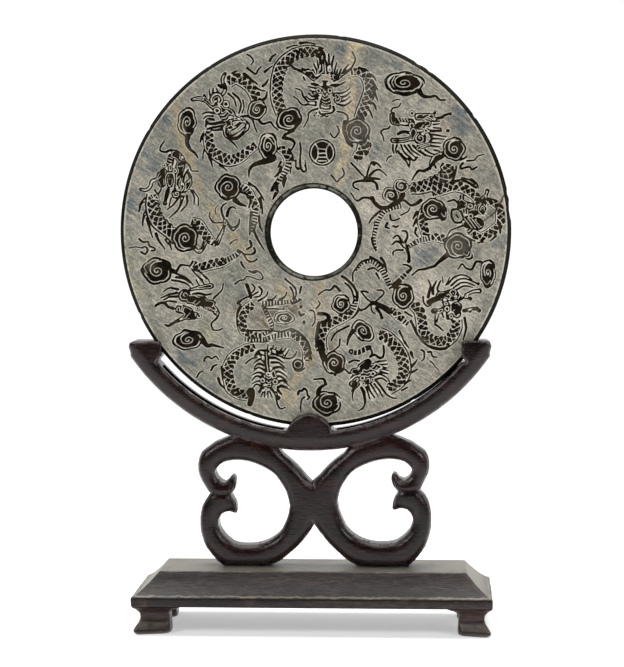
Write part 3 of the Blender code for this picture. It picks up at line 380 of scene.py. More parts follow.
LEFT_HEAD = [
    cut(8, 9, 175.5, 153.5, 181, 160, 180, 168), cut(9, 6, 180, 166, 178.5, 175, 177, 185),
    cut(6, 7, 171, 157, 170, 163),
    *lefts(1, [168.5, 157.4, 172.4, 158.6], [167.6, 160, 171.8, 161.6], [167, 163, 171.6, 164.6],
        [167, 166, 171.6, 167.4]),
    knob(1.4, 182, 157.4), cut(5, 4, 170, 166, 170, 172), *eye(164.2, 165.5, 0.62), *eye(174.8, 170.6, 0.68),
    cut(7, 7.6, 163.6, 172, 161.6, 184), cut(7.4, 7.6, 170, 177, 169.6, 184),
    left(1, 166, 186, 165.6, 178, 168, 173.4, 172.6, 173.4, 174.6, 177.6, 174, 184, 172, 190),
    cut(4.4, 3.6, 159, 174, 157.6, 179.4, 152, 181, 150.6, 186, 146, 190, 141, 189.4), pit(2.2, 140.8, 189.4),
    cut(4, 3, 168, 190, 166.4, 196, 165, 203), pit(2.4, 165, 203.6), cut(8, 7, 178, 189, 184, 189, 189, 183),
    cut(4, 2.4, 189, 184, 190.4, 178, 188, 172), left(1, 176, 187, 178, 191.4, 182, 190.4, 184, 186, 181, 182),
    cut(2, 1.4, 183, 182, 184.4, 175, 188, 169.4), cut(2, 1, 184, 160, 189.4, 166, 191.6, 170.6),
    cut(1.2, 0.8, 192, 171, 199, 171.4), pit(5, 176, 194),
    left(1, 176.4, 194.6, 174.8, 193.6, 176.4, 192, 178.6, 193.8, 177.4, 196.6, 174, 196.4, 172.8, 193.4),
    cut(2.8, 1, 182, 197, 180, 206, 175, 213, 169, 218), cut(1.8, 1, 178.6, 198, 173, 205, 167, 209.4),
    cut(2.6, 1, 187, 196, 187, 204, 181, 211.6),
    *cuts(1.6, 1, [190.6, 190, 194, 197, 194, 205], [171, 198, 169, 206]),
    *cuts(1.4, 0.9, [193, 190, 198, 198, 198.4, 206], [184, 196, 182, 203]),
    left(1, 151, 192, 155, 199, 160.6, 198, 163.4, 191),
    *cuts(2, 1.4, [155, 190, 158, 194, 161, 189],
        [139, 239, 143, 242, 148, 241.6, 149.4, 246, 155, 248.4, 154, 250.6, 151, 250.8]),
    cut(1.2, 2.4, 165, 141, 161, 146, 160, 150, 164.4, 152, 170, 150.4, 173.4, 151),
    cut(3.2, 1.4, 145, 199, 140.4, 205, 139, 211.6),
    *cuts(3.2, 1.2, [145, 213, 143, 220, 142.8, 225], [166, 240, 170, 245, 171.2, 249.6]),
    cut(2.6, 1, 147, 219, 149.4, 228, 152.4, 237.4), cut(3, 1, 156, 234, 159.6, 242, 165, 249),
    cut(5, 3, 217, 243, 222, 232, 225, 224), pit(2.8, 225, 221.6),
    cut(2.4, 1.2, 224, 219, 221.6, 212, 222.4, 206, 226.4, 203),
    cut(3, 1.2, 227, 216, 228.4, 210, 232, 207, 235.4, 208.4), cut(2.4, 3.4, 227, 222.6, 230.6, 227.6, 233.6, 229.6),
    cut(3.6, 1.2, 234, 229, 238, 225, 239.2, 219), cut(1.4, 1, 222, 222.6, 214, 222.4, 209.4, 217, 210, 212),
    *cuts(1, 0.8, [216, 215, 215.4, 209, 218.4, 205], [129, 248, 136, 247, 143, 248.4]),
    cut(4.6, 4, 205, 242, 203, 248, 199, 251.6, 195, 248.6),
    cut(1.8, 1.2, 141, 252, 145, 254, 147.4, 251, 146, 247, 142, 247.4),
]

LOWER_LEFT_HEAD = [
    pit(6.6, 184.5, 295.6),
    left(1, 184.6, 296.6, 182.8, 295.2, 184.8, 293, 187.8, 295, 186.8, 299, 182.6, 299.6, 179.8, 295.8, 182, 291.4),
    cut(10, 10, 191, 300, 203, 301.4), cut(8, 7, 203, 303, 212, 303.4),
    cut(7, 6.4, 206, 306, 214, 309, 216.4, 312.6), pit(3, 217, 312.6), knob(1, 215.2, 312),
    cut(9, 8, 179.6, 309, 188, 311, 191, 316), cut(5, 4.6, 184, 317.4, 194, 317.6),
    *lefts(1, [177, 304, 182, 306, 181, 311], [184.6, 305, 190, 304.6, 194.6, 307, 195, 311]),
    *eye(197.8, 308.8, 0.62), *eye(198.9, 316.3, 0.68), cut(3, 3, 193, 312.6, 197, 314),
    knob(0.7, 202, 309, 204.4, 309, 206.8, 309, 209.2, 309.2),
    cut(2.4, 3, 155.6, 305.6, 160, 303, 165, 303.4, 168.4, 307, 173, 308.4), cut(4.4, 3.4, 182, 318.6, 177, 321),
    cut(3, 1.8, 177, 320.6, 172, 324, 168.4, 326, 165, 324.6), cut(3, 6, 190, 290, 197, 288, 203, 287.4, 211, 286),
    pit(3.2, 209.6, 286.6), cut(2, 1.8, 193, 294.2, 199, 293.4, 206, 295, 211, 294),
    *cuts(2.2, 1, [177, 293, 168, 294.6, 161, 298], [177, 296.6, 169, 297, 164, 299.6],
        [178, 289.6, 170, 288, 163, 291.6], [172, 272, 180, 275, 188, 279, 193, 285],
        [172, 280, 180, 281.4, 187, 284, 191, 288.6], [176, 277, 184, 279, 190, 283],
        [176, 302, 168, 301, 163, 303]),
    *cuts(1.6, 1, [192, 270, 197, 276, 203, 280], [194, 268, 201, 273, 206.4, 279], [196, 280, 200, 287],
        [199.6, 278, 204, 284], [203.6, 275, 208, 279, 209.4, 282]),
    cut(1.8, 1, 213.6, 298.4, 218, 294, 222.6, 289, 223.4, 283.6),
    cut(2, 1, 218, 315.6, 216, 319, 212, 322, 211.4, 326.4, 214, 330, 219, 330.2, 222.4, 328),
]

BOTTOM_LEFT_HEAD = [
    *comb(9, 2.4, 0.6, (265, 351, 259, 350, 254, 355), (263, 388, 257, 385, 251, 389)),
    *comb(8, 2.6, 0.6, (270, 353, 277, 354, 284, 359), (277, 388, 283, 386, 290, 391)),
    *comb(6, 1.4, 0.8, (267, 351, 268.5, 344.5), (285, 357, 290, 349)), cut(3, 2, 271, 349, 278, 352, 283, 355),
    cut(5, 4.4, 267, 352, 267, 362, 268, 373), cut(6, 7, 268, 373, 269, 385),
    *lefts(1, [266.4, 352, 266.6, 362, 268, 372], [269.6, 360, 270, 368, 271, 375]), cut(5, 5, 273, 372, 275, 382),
    cut(3.4, 3.4, 262, 377, 262.4, 384), *eye(275, 382, 0.8), *eye(262.8, 380.5, 0.72),
    *lefts(1, [266, 377, 268.6, 379, 271, 377], [266.4, 381, 268.6, 383, 271, 381]),
    cut(3, 2, 281, 386, 286.4, 387.4), cut(2.4, 2, 259, 392, 262, 387.4, 267, 386, 271.4, 389, 275.4, 394.6),
    *comb(4, 1.3, 0.8, (262, 392, 260, 398), (270, 391, 271, 398)), cut(3.4, 3.4, 275.6, 393, 277.4, 398.6),
    pit(2.2, 278.8, 397.8), cut(2, 1, 276.4, 399, 277.4, 405, 281, 409, 285, 407.2),
    cut(2.4, 1.4, 277.6, 389.6, 281.4, 394.6),
    cut(1.6, 1.2, 281.4, 350, 282, 357, 287, 358.6, 293, 357.4, 296.4, 351.6),
    cut(2, 1.2, 246, 363.6, 251, 359, 257, 357.6), cut(2.4, 1.6, 258, 352, 262, 357, 264, 362),
]

BOTTOM_RIGHT_HEAD = [
    *comb(5, 3.4, 1, (359, 370, 354, 370, 350, 374), (358, 384, 354, 387, 351, 392)), cut(6, 5, 353, 371, 358, 370),
    cut(5, 4, 351, 384, 357, 383),
    *comb(5, 3.4, 0.8, (370, 366, 378, 362, 387, 361), (373, 371, 380, 371, 388, 375)),
    cut(1.6, 1, 372, 380, 377, 381), cut(6.4, 7, 361, 366.4, 368, 362), cut(10, 11, 365, 370, 368, 379),
    *eye(362.6, 378.4, 0.78), *eye(373, 373.6, 0.8), *eye(372.6, 379.6, 0.6), *eye(363.6, 383.2, 0.5),
    *lefts(1, [364, 369.6, 367, 370.6, 370, 369], [364, 372.6, 367, 373.6, 370, 372],
        [364.6, 375.6, 367.4, 376.6, 370, 375]),
    cut(5, 5, 351, 351.4, 357, 353, 363, 350, 369, 347.4),
    *lefts(1, [354, 349.6, 353, 355], [357.6, 350, 357, 355.4], [361, 348.6, 362, 354], [364.6, 347, 366, 352]),
    cut(2.2, 1.4, 349, 362.6, 354, 360, 359.6, 360.8),
    cut(2.2, 1.8, 370, 356.4, 374.6, 354.6, 379, 357.6, 382.6, 357, 384, 352, 383.6, 346),
    cut(1.6, 1.2, 369, 347, 372, 352, 370, 357),
    cut(3.2, 1.2, 361.6, 388, 364.2, 394, 365, 402, 362.8, 408, 358, 411),
    cut(1.6, 1, 358, 386, 354, 389.6, 352.6, 395, 353, 401),
    *cuts(1.8, 1, [368, 386, 370.6, 392, 374.6, 398], [371, 385, 375, 391, 378.6, 397],
        [374, 384, 379, 390, 383, 397], [366, 387, 368, 393, 370, 399],
        [375, 376, 380, 374.4, 385.6, 377, 389.4, 381.4], [376, 379.4, 381.6, 378.4, 387, 382]),
    cut(2.2, 1, 377, 382, 381.6, 387.6, 386.4, 394, 391, 397.4, 397, 398.4),
]

LOWER_RIGHT_HEAD = [
    cut(9, 10, 440, 296, 450, 296, 456, 296), cut(6, 6, 445, 302, 449, 310, 449, 317), pit(6, 456.6, 307),
    pit(4.4, 457, 314), left(1.3, 450, 303, 457, 301, 463.6, 305, 464, 311, 461.6, 318, 455, 319.4, 450, 316),
    cut(3, 3.6, 464, 311, 470, 309, 477, 308.6), pit(2.2, 479, 310.6), pit(1.6, 470, 311.6),
    cut(3.6, 4, 466, 295, 472, 292, 479, 290.8), pit(2.6, 479.6, 291),
    cut(3.4, 2.6, 459, 300, 464, 297.6, 470, 298.4), pit(1.9, 470.6, 298.8),
    cut(5, 6.4, 429, 302, 437, 298.4, 445, 294, 453, 291.6), knob(1.6, 445, 300),
    *lefts(1, [452, 296, 450, 292, 453, 289.6, 456, 292, 455, 295.6], [458, 299, 460, 295, 458, 291],
        [462, 297, 464, 293, 461, 290]),
    cut(5, 4.6, 433.6, 311, 440, 311, 446, 307), cut(4.6, 3.4, 437, 312, 436.6, 317, 436, 321),
    cut(1.8, 1.2, 442, 313, 443.4, 317.4), cut(2.2, 1.2, 435, 324, 439, 327, 443, 330.6), *eye(447, 309, 0.8),
    *eye(451, 316.6, 0.66), cut(1.8, 1, 423, 297, 424, 303, 427.4, 306.4, 431, 305),
    cut(2.8, 1.4, 428, 297, 430, 290, 430.4, 285, 428, 280),
    *cuts(2.6, 1.2, [433, 294, 433.4, 287, 436.4, 281], [464.6, 318, 466, 327, 464.4, 335, 463, 340]),
    cut(2.4, 1.2, 439.4, 293, 437.4, 288, 440.6, 281), cut(1, 0.8, 443, 283, 442, 275.6),
    cut(1.4, 0.8, 446, 285, 450, 277),
    *cuts(1.6, 1, [448, 284, 454, 277.6, 461, 275, 467, 276, 472, 279.6],
        [451, 285.6, 458, 280, 465, 278.6, 472, 281, 478, 284], [454, 287.4, 461, 283, 469, 283, 475, 285.6],
        [457, 289.6, 464, 286, 473, 287.4]),
    pit(1.6, 478.4, 283.6), cut(2.4, 2, 411, 321, 415, 330, 420, 338.4, 427, 345, 434, 348.4, 444, 349.4, 449, 346),
    cut(1.8, 1.2, 405, 312, 412, 316.4),
]

RIGHT_HEAD = [
    *cuts(12, 12, [463, 206, 474, 210], [468, 222, 478, 224]), cut(8, 6, 461, 203, 466, 205),
    *eye(470.3, 206.2, 0.8), *eye(471, 216.3, 0.8), cut(8, 8, 482.4, 207.6, 482.4, 211.6),
    *lefts(1, [482.6, 202.6, 486.8, 208.6, 483, 215.4, 478, 209, 482, 203], [462.4, 209.6, 462.6, 214.8],
        [465, 209.6, 465.2, 215], [467.6, 209.6, 467.8, 215]),
    cut(1.9, 1.9, 452, 210, 451.4, 216, 454.4, 222, 460, 222.4, 463.4, 219, 461.6, 213.4, 458.4, 209.4, 453, 209.6),
    cut(1.6, 1.2, 456.4, 215, 458.4, 218), *cuts(1.8, 1.4, [460.4, 196, 461, 202], [463.4, 196, 463.6, 203]),
    cut(3.4, 3.4, 483, 202, 485.6, 196, 487.4, 191), pit(2.5, 487.4, 190.8),
    cut(2.4, 1.6, 477, 203, 481, 198, 484.6, 195),
    *lefts(1, [464, 218, 472, 228], [467.6, 217.6, 475.6, 228], [472, 219, 479, 228]),
    *cuts(1.6, 1, [463, 225.4, 456, 228.4, 450, 231, 447, 236.6], [462, 178, 470, 180, 475, 184],
        [469, 238.4, 475, 241]),
    cut(1.8, 1.6, 448, 201.4, 454, 199.6, 458, 203, 458.4, 206.4),
    cut(2.4, 2, 451, 182, 460, 180.4, 468, 182.4, 476, 187.6), cut(2.2, 1.2, 471, 179, 476, 183, 478.6, 188),
    *cuts(1.6, 1.2, [490, 198.4, 496, 200.4], [393, 226, 396, 227.2, 398.4, 226]),
    cut(2, 1.6, 500.4, 226, 500.2, 233), cut(2.2, 1, 496, 236, 490.4, 241),
    *cuts(1.8, 1.2, [483, 242, 477.6, 242.4], [403, 250, 397, 250, 393, 252, 393, 255.4],
        [390, 215, 391, 219, 394, 220.4, 400, 218.4]),
    pit(2.6, 406, 246.6), cut(2.6, 1.4, 404, 247, 400, 242.4, 396, 241.4, 392, 244.6),
    cut(2.6, 1, 402.6, 243, 399, 236.6, 396, 236, 393, 238.6),
    cut(2.6, 1.2, 405, 243, 407.4, 237, 406, 231.4, 402, 231), cut(2.8, 3, 407, 249, 409.2, 256, 408.8, 261),
    pit(2.1, 408.6, 261.4), *cuts(3, 1.4, [417, 212, 413, 218.6], [416.6, 220, 413, 226.4]),
    cut(2.2, 1.4, 416, 228, 415, 233, 418, 236.6), cut(1.2, 1, 401, 215, 407, 212, 410, 208),
    cut(2.4, 1.6, 387.4, 223, 385.6, 227, 389, 228.4),
]

HEADS = [TOP_HEAD, UPPER_LEFT_HEAD, UPPER_RIGHT_HEAD, LEFT_HEAD, LOWER_LEFT_HEAD, BOTTOM_LEFT_HEAD, BOTTOM_RIGHT_HEAD,
         LOWER_RIGHT_HEAD, RIGHT_HEAD]

# Claws, fins and tails along the bodies
CLAWS_AND_FINS = [
    *cuts(2.6, 1.2, [399.6, 331, 402.4, 337, 403.6, 341], [410, 372.4, 414, 371, 417.4, 369],
        [370, 257, 377, 260.6, 383.4, 267], [260, 198, 262, 207, 262.4, 213.6]),
    *cuts(2.2, 1, [404.6, 342, 408.6, 347.6], [405, 383.4, 411, 380], [281, 171, 278, 174, 275, 176.6],
        [286, 178, 284, 187.6], [268, 300, 273, 299, 276.6, 295]),
    cut(3.2, 1.2, 411, 352.6, 413.4, 358),
    *cuts(2.8, 1.2, [412, 366, 415, 363, 417.4, 359.6], [381, 258, 385, 264, 386.4, 271]),
    *cuts(1.6, 1, [402, 390.4, 408, 387], [252, 272, 256, 271, 260, 273, 263, 277, 260, 280, 252, 277.4]),
    pit(2.6, 373, 303), cut(4, 6, 376, 303.4, 381, 306, 389, 310.6),
    *cuts(1.6, 1.4, [371, 302, 366, 298, 362, 293, 361, 291, 366, 291.4, 368, 292.4],
        [376, 301, 381, 297, 384, 293.4, 382, 290.4, 377, 290]),
    cut(2.2, 1.4, 370, 304.4, 366, 308, 361.4, 310.2), pit(1.6, 361.4, 310.2),
    *cuts(1.6, 1.2, [371, 306, 371.6, 311, 375, 314], [244, 254, 250, 254.6, 255, 251.6],
        [252, 284, 255, 288, 252, 292.6], [259, 286.6, 262, 291, 260, 295.6, 254, 297.4],
        [290, 287, 293, 293, 293, 299]),
    cut(3, 2.6, 376.4, 307.6, 380, 313, 382, 318), pit(1.9, 381.8, 318),
    cut(2.6, 2, 341.6, 276, 347, 279.4, 353, 285.6, 357, 293, 357.4, 301),
    *cuts(1.8, 1.4, [345, 283, 350, 287.4, 353, 293.4, 354, 301],
        [366.6, 177, 368, 170, 370, 165, 372.4, 161.8, 377, 163, 381, 167.4],
        [238, 250, 243, 253, 247, 260, 252, 262]),
    *cuts(1.8, 1.2, [368, 269.4, 374, 268, 378, 271.4], [249, 271, 254, 273, 257.4, 271],
        [238.6, 303, 243, 299, 248, 297, 253, 295, 258, 292], [285, 279, 291, 284, 296, 290.4, 295, 299],
        [301, 286.6, 300, 293]),
    *cuts(2, 1.2, [376, 273.4, 379.6, 279], [257, 259, 254, 261.4, 249, 262]),
    cut(1.4, 1, 353, 281, 353, 273.4, 357, 267, 363, 261.4, 370, 259), cut(2.2, 1.2, 380, 211, 373, 217, 369, 223),
    *cuts(2.4, 1, [372, 238, 373, 245, 376, 251], [280, 299.6, 285, 296.4, 286.8, 292]), pit(3, 366, 179),
    cut(1.8, 1.6, 351, 163, 357, 169, 363, 176),
    *cuts(2.4, 1.2, [364, 181, 359, 181, 353.4, 183, 354, 187, 359, 190], [281, 162, 278, 167.4],
        [259, 216, 260, 226, 262.4, 231.6], [292, 303.4, 297, 301.6, 301, 299.4]),
    cut(2.4, 2.4, 366, 181, 372, 181, 376.6, 184, 377.6, 189), pit(2.2, 374, 164),
    cut(2.2, 1.8, 368, 178, 374, 178.4, 380, 179.4),
    *cuts(2.6, 1, [370, 175.4, 374, 171, 380, 170, 386.6, 175.6], [249, 183, 256, 188, 261, 195, 264, 200]),
    cut(3, 1.2, 275, 186, 271, 191), cut(3, 1, 276, 186.6, 277.4, 192, 273, 199.4),
    cut(1.2, 0.9, 291, 167, 290, 173),
    *cuts(2, 1.4, [240, 192, 246, 194, 250, 200, 249, 207.4], [254, 248, 255.4, 252, 252, 254.4, 247, 254],
        [241, 262, 242.6, 266, 245, 268.4]),
    cut(2, 1.6, 251, 212, 250, 222, 250, 235), cut(2.8, 1, 254, 231, 258, 240, 264, 249.6),
    cut(2.4, 1.8, 250, 241, 251.2, 246, 247, 249), cut(1.2, 0.8, 230, 244, 234, 240.4, 238, 240),
    *cuts(1.8, 1, [235, 284, 240, 280.4, 244, 279.4, 247, 276.4, 251, 277],
        [258, 301, 262, 299, 267, 295, 268, 292]),
    cut(3.4, 2.4, 246.6, 285, 249, 291, 251, 298), pit(2, 238.4, 303),
    cut(1.2, 1, 265, 308.4, 275, 308.8, 284, 309.4), pit(6, 298, 364.4),
    left(1, 298, 360.8, 301.1, 362.6, 301.1, 366.2, 298, 368, 294.9, 366.2, 294.9, 362.6, 298, 360.8),
    *cuts(1.6, 1.2, [295, 370, 300, 371.4, 305, 368], [241, 305, 237.6, 311, 236.6, 318, 238, 326]),
    cut(2.2, 2, 290, 328.6, 297, 331.4, 304, 337.4, 309, 344.6, 310.4, 353),
    cut(1.4, 1.2, 246, 331, 265, 330.4, 280, 331.4, 290, 329), cut(2.2, 1.4, 221.6, 367, 222.6, 373, 222.4, 379.6),
    cut(2.6, 1.2, 218, 378, 220, 384, 224.4, 388.6), cut(7, 5, 251, 391, 251.6, 398, 249.6, 404),
]

# Lobes of the clouds and light lines in them
CLOUD_LOBES = [
    *lefts(1, [391, 77.6, 388.6, 82, 390.6, 86.6], [394.4, 76.6, 392, 82, 394, 87], [418, 79, 421, 84, 418.6, 88.4],
        [421.6, 80.4, 424, 84.4, 421.8, 88.4]),
    cut(4.4, 2, 397, 92, 404, 94.4, 413, 93, 419, 90), left(1, 394, 90.4, 403, 91, 412, 90.4),
    cut(9, 8, 466, 250, 469, 256),
    *lefts(1, [463, 253, 467, 255.4, 469.6, 251.4], [465, 257.4, 470.6, 256.4, 471.4, 250.6]),
    cut(8, 6, 487, 280, 487, 285), left(1, 483.6, 280.6, 487, 284.6, 490.6, 280.6), cut(6, 5, 146, 266, 143, 270),
    left(1, 148, 263, 144, 267, 147, 273), cut(8, 6, 443, 210, 443, 218), left(1, 441, 213, 444.6, 217, 446, 212),
    cut(2.4, 2, 183, 331, 186, 330, 192, 332, 199, 333, 203, 337, 207, 344),
    left(1, 336, 396, 340, 400, 336.6, 404.4), cut(2.4, 1.6, 313, 407, 320, 412.4, 327, 416, 334, 411.6),
    cut(4, 3, 372, 198, 376, 204, 383, 208, 391, 205.4, 397, 201),
    *lefts(1, [376, 201, 383, 204.6, 391, 202.4], [266, 134, 272, 136, 276, 142], [264, 136, 270, 138.6, 274, 144],
        [399, 276.6, 403, 281], [402, 274.6, 406.4, 279.4], [405, 272.6, 409.6, 277.4]),
]

# Small marks between the bodies
SMALL_MARKS = [
    *cuts(1, 2.6, [276, 54, 272, 57, 270, 61], [272, 66, 268, 69, 265, 72]),
    *cuts(1, 3, [268, 79, 266, 83, 263, 86], [267, 92, 266, 97, 263, 100]), cut(1, 2.4, 315, 44, 308, 42.5, 300, 43),
    cut(1, 2, 297, 45, 292, 46, 287, 48),
    *cuts(2.4, 1, [369, 74, 373, 76, 376, 80], [374, 92, 376, 96, 378, 101], [373, 103, 375, 106, 376, 110],
        [220, 165, 225, 169], [277, 185, 276, 192, 273, 199], [285, 176, 283, 182, 284, 187]),
    cut(3, 1, 372, 82, 375, 85, 378, 90),
    *cuts(2, 1, [370, 111, 371, 114, 373, 118], [255, 87, 260, 90, 265, 91], [289, 149, 292, 155, 294, 161],
        [232, 73, 237, 70.6]),
    *cuts(2.6, 1, [359, 68, 364, 69, 368, 71], [209, 157, 211, 162, 212, 167], [359, 309, 356, 314, 352, 318.4]),
    cut(2.6, 1.2, 203, 134, 201.4, 138, 200, 142),
    *cuts(1.4, 1, [204, 150, 203, 154, 203, 159], [310, 310, 314, 312, 315, 320, 312, 326.6],
        [296, 167, 298, 169.4, 301, 167.6]),
    cut(1.2, 1, 205, 150, 211, 158, 221, 165, 227, 171), cut(2.8, 1.4, 244, 74, 251, 79, 257, 84),
    cut(2.2, 1, 281, 167, 279, 173, 275, 177), cut(3, 1.6, 275, 184, 271, 190),
    *cuts(1.6, 1, [247, 54, 251, 57, 253, 61, 251, 65], [337, 126, 339, 132, 334, 138, 330, 133],
        [296, 160, 296, 167, 299, 168], [305, 397, 302, 399.4, 301, 405, 301, 413], [197, 377, 199.4, 373, 203, 371],
        [467, 161, 474, 160, 478, 156, 484, 154.4]),
    cut(2.4, 1.4, 247, 68, 251, 71, 256, 74, 258, 70, 261, 67),
    cut(1.8, 1, 300, 143, 301, 151, 300, 160, 301, 168, 304, 172, 306, 168, 305, 160),
    cut(2, 1.6, 349, 326, 342, 329, 335, 334, 331, 340.6),
    cut(3.6, 3, 319, 313.6, 325, 314, 329, 317, 326, 321, 322, 322.4), pit(2.4, 328.4, 316.6),
    cut(3, 3.4, 319, 323, 317, 333, 316.4, 341, 320, 348.4), cut(7, 5.4, 321, 346, 322, 353, 324, 358.6),
    *cuts(1.6, 1.2, [340, 339, 339, 346, 334, 350, 330, 352.4],
        [331, 175, 334, 178.4, 337, 182, 339.6, 179, 343.4, 176, 344, 172, 342.4, 168]),
    *cuts(2, 1.4, [335, 375.4, 337, 371.4, 341, 369.2, 345, 369.4, 348.8, 372.8], [211, 370, 213.6, 366, 217, 364.8],
        [463, 163, 460.4, 166, 461, 169, 466, 167.4, 470, 167, 472, 169.4, 477, 167]),
    pit(1.9, 301, 307, 304, 322),
    *cuts(2.2, 1.6, [299, 312, 301, 315.4, 304, 314],
        [298, 394.4, 299, 391, 302, 390.6, 304.4, 388.4, 307, 391, 307.4, 395, 309.4, 397, 307.6, 399.4]),
    *cuts(1.8, 1.2, [316, 308.6, 320, 303.6, 318, 301],
        [204, 361, 205, 358, 208.4, 356.4, 211.6, 358.4, 215.6, 356.4, 218.6, 359.4],
        [421, 350, 424, 352.4, 424.4, 358, 422, 361], [460, 160, 464, 158.6, 467, 156.6]),
    cut(2, 1.2, 428, 352, 431, 352, 432.4, 356, 437, 357.4),
    cut(1.4, 0.9, 430, 361, 433, 363.4, 435.4, 367, 438.6, 369.6),
    cut(1.8, 1.4, 300, 160, 301, 168, 303, 172, 306, 170.4, 305, 165),
]

# Round sign over the hole: middle and radius
MEDALLION = (322.2, 152.5, 13.6)


class Sheet:
    """The carver's drawing as a field of coverage, 0 where the stone stays and 1 where it is cut away."""

    def __init__(self):
        count = int(SHEET_SIZE / SHEET_PITCH)
        self.cut = np.zeros((count, count))
        self.x, self.y = (corner + SHEET_PITCH * np.arange(count) for corner in SHEET_CORNER)

    def window(self, points, margin):
        """The slice of the sheet around some points, with its coordinates."""
        low = (points.min(axis=0) - margin - SHEET_CORNER) / SHEET_PITCH
        high = (points.max(axis=0) + margin - SHEET_CORNER) / SHEET_PITCH
        x0, y0 = np.clip(np.floor(low).astype(int), 0, len(self.x))
        x1, y1 = np.clip(np.ceil(high).astype(int) + 1, 0, len(self.x))
        return (slice(y0, y1), slice(x0, x1)), self.x[x0:x1][None, :], self.y[y0:y1][:, None]

    def lay(self, where, cover, raised):
        """Cut, or leave standing, by a coverage inside a window."""
        if raised:
            self.cut[where] = np.minimum(self.cut[where], 1 - cover)
        else:
            self.cut[where] = np.maximum(self.cut[where], cover)

    def stroke(self, points, start, end, raised=False):
        """A stroke along a smooth line, whose width goes from start to end."""
        spine = smooth_line(np.array(points, float), 1.1)
        widths = np.linspace(start, end, len(spine)) / 2
        for first, second, half in zip(spine, spine[1:], (widths[:-1] + widths[1:]) / 2):
            where, x, y = self.window(np.array([first, second]), half + 1)
            self.lay(where, covered(half - from_segment(x, y, first, second)), raised)

    def spot(self, x, y, radius, raised=False):
        """A round spot."""
        where, across, down = self.window(np.array([[x, y]]), radius + 1)
        self.lay(where, covered(radius - np.hypot(across - x, down - y)), raised)

    def marks(self, marks):
        """Draw marks in their order."""
        for mark in marks:
            raised = mark.kind in ("left", "knob")
            if mark.kind in ("cut", "left"):
                gain = -LINE_LOSS if raised else CUT_GAIN
                self.stroke(mark.places, mark.start + gain, mark.end + gain, raised)
            else:
                for x, y in mark.places:
                    self.spot(x, y, mark.start, raised)


def covered(inside):
    """How much of a place is covered, from its distance inside an edge."""
    return np.clip(inside / EDGE_SOFTNESS + 0.5, 0, 1)


def from_segment(x, y, first, second):
    """How far places lie from a straight piece of a line."""
    along = second - first
    share = ((x - first[0]) * along[0] + (y - first[1]) * along[1]) / max(along @ along, 1e-9)
    share = np.clip(share, 0, 1)
    return np.hypot(x - first[0] - share * along[0], y - first[1] - share * along[1])


def travelled(points):
    """The length of a line up to each of its points."""
    return np.concatenate([[0], np.cumsum(np.hypot(*np.diff(points, axis=0).T))])


def places_of(x, y):
    """The places of a grid, from its columns and its rows."""
    return np.stack(np.broadcast_arrays(x, y), axis=-1)


def smooth_line(points, pitch):
    """Points at an even pitch along a Catmull-Rom curve."""
    ends = np.vstack([2 * points[0] - points[1], points, 2 * points[-1] - points[-2]])
    fine = []
    for first, second, third, fourth in zip(ends, ends[1:], ends[2:], ends[3:]):
        t = np.linspace(0, 1, 12, endpoint=False)[:, None]
        fine.append(0.5 * (2 * second + (third - first) * t
                           + (2 * first - 5 * second + 4 * third - fourth) * t ** 2
                           + (3 * second - first - 3 * third + fourth) * t ** 3))
    fine = np.vstack(fine + [points[-1:]])
    lengths = travelled(fine)
    wanted = np.linspace(0, lengths[-1], max(3, int(lengths[-1] / pitch) + 1))
    return np.column_stack([np.interp(wanted, lengths, fine[:, axis]) for axis in (0, 1)])


def ripple(points, size, seed):
    """Smooth noise between -1 and 1 at some points of the plane."""
    grid = np.random.default_rng(seed).uniform(-1, 1, (96, 96))
    place = points / size + 40.5
    cell = np.floor(place).astype(int)
    share = place - cell
    share = share * share * (3 - 2 * share)
    cell %= 95
    x, y = cell[..., 0], cell[..., 1]
    top = grid[y, x] * (1 - share[..., 0]) + grid[y, x + 1] * share[..., 0]
    bottom = grid[y + 1, x] * (1 - share[..., 0]) + grid[y + 1, x + 1] * share[..., 0]
    return top * (1 - share[..., 1]) + bottom * share[..., 1]


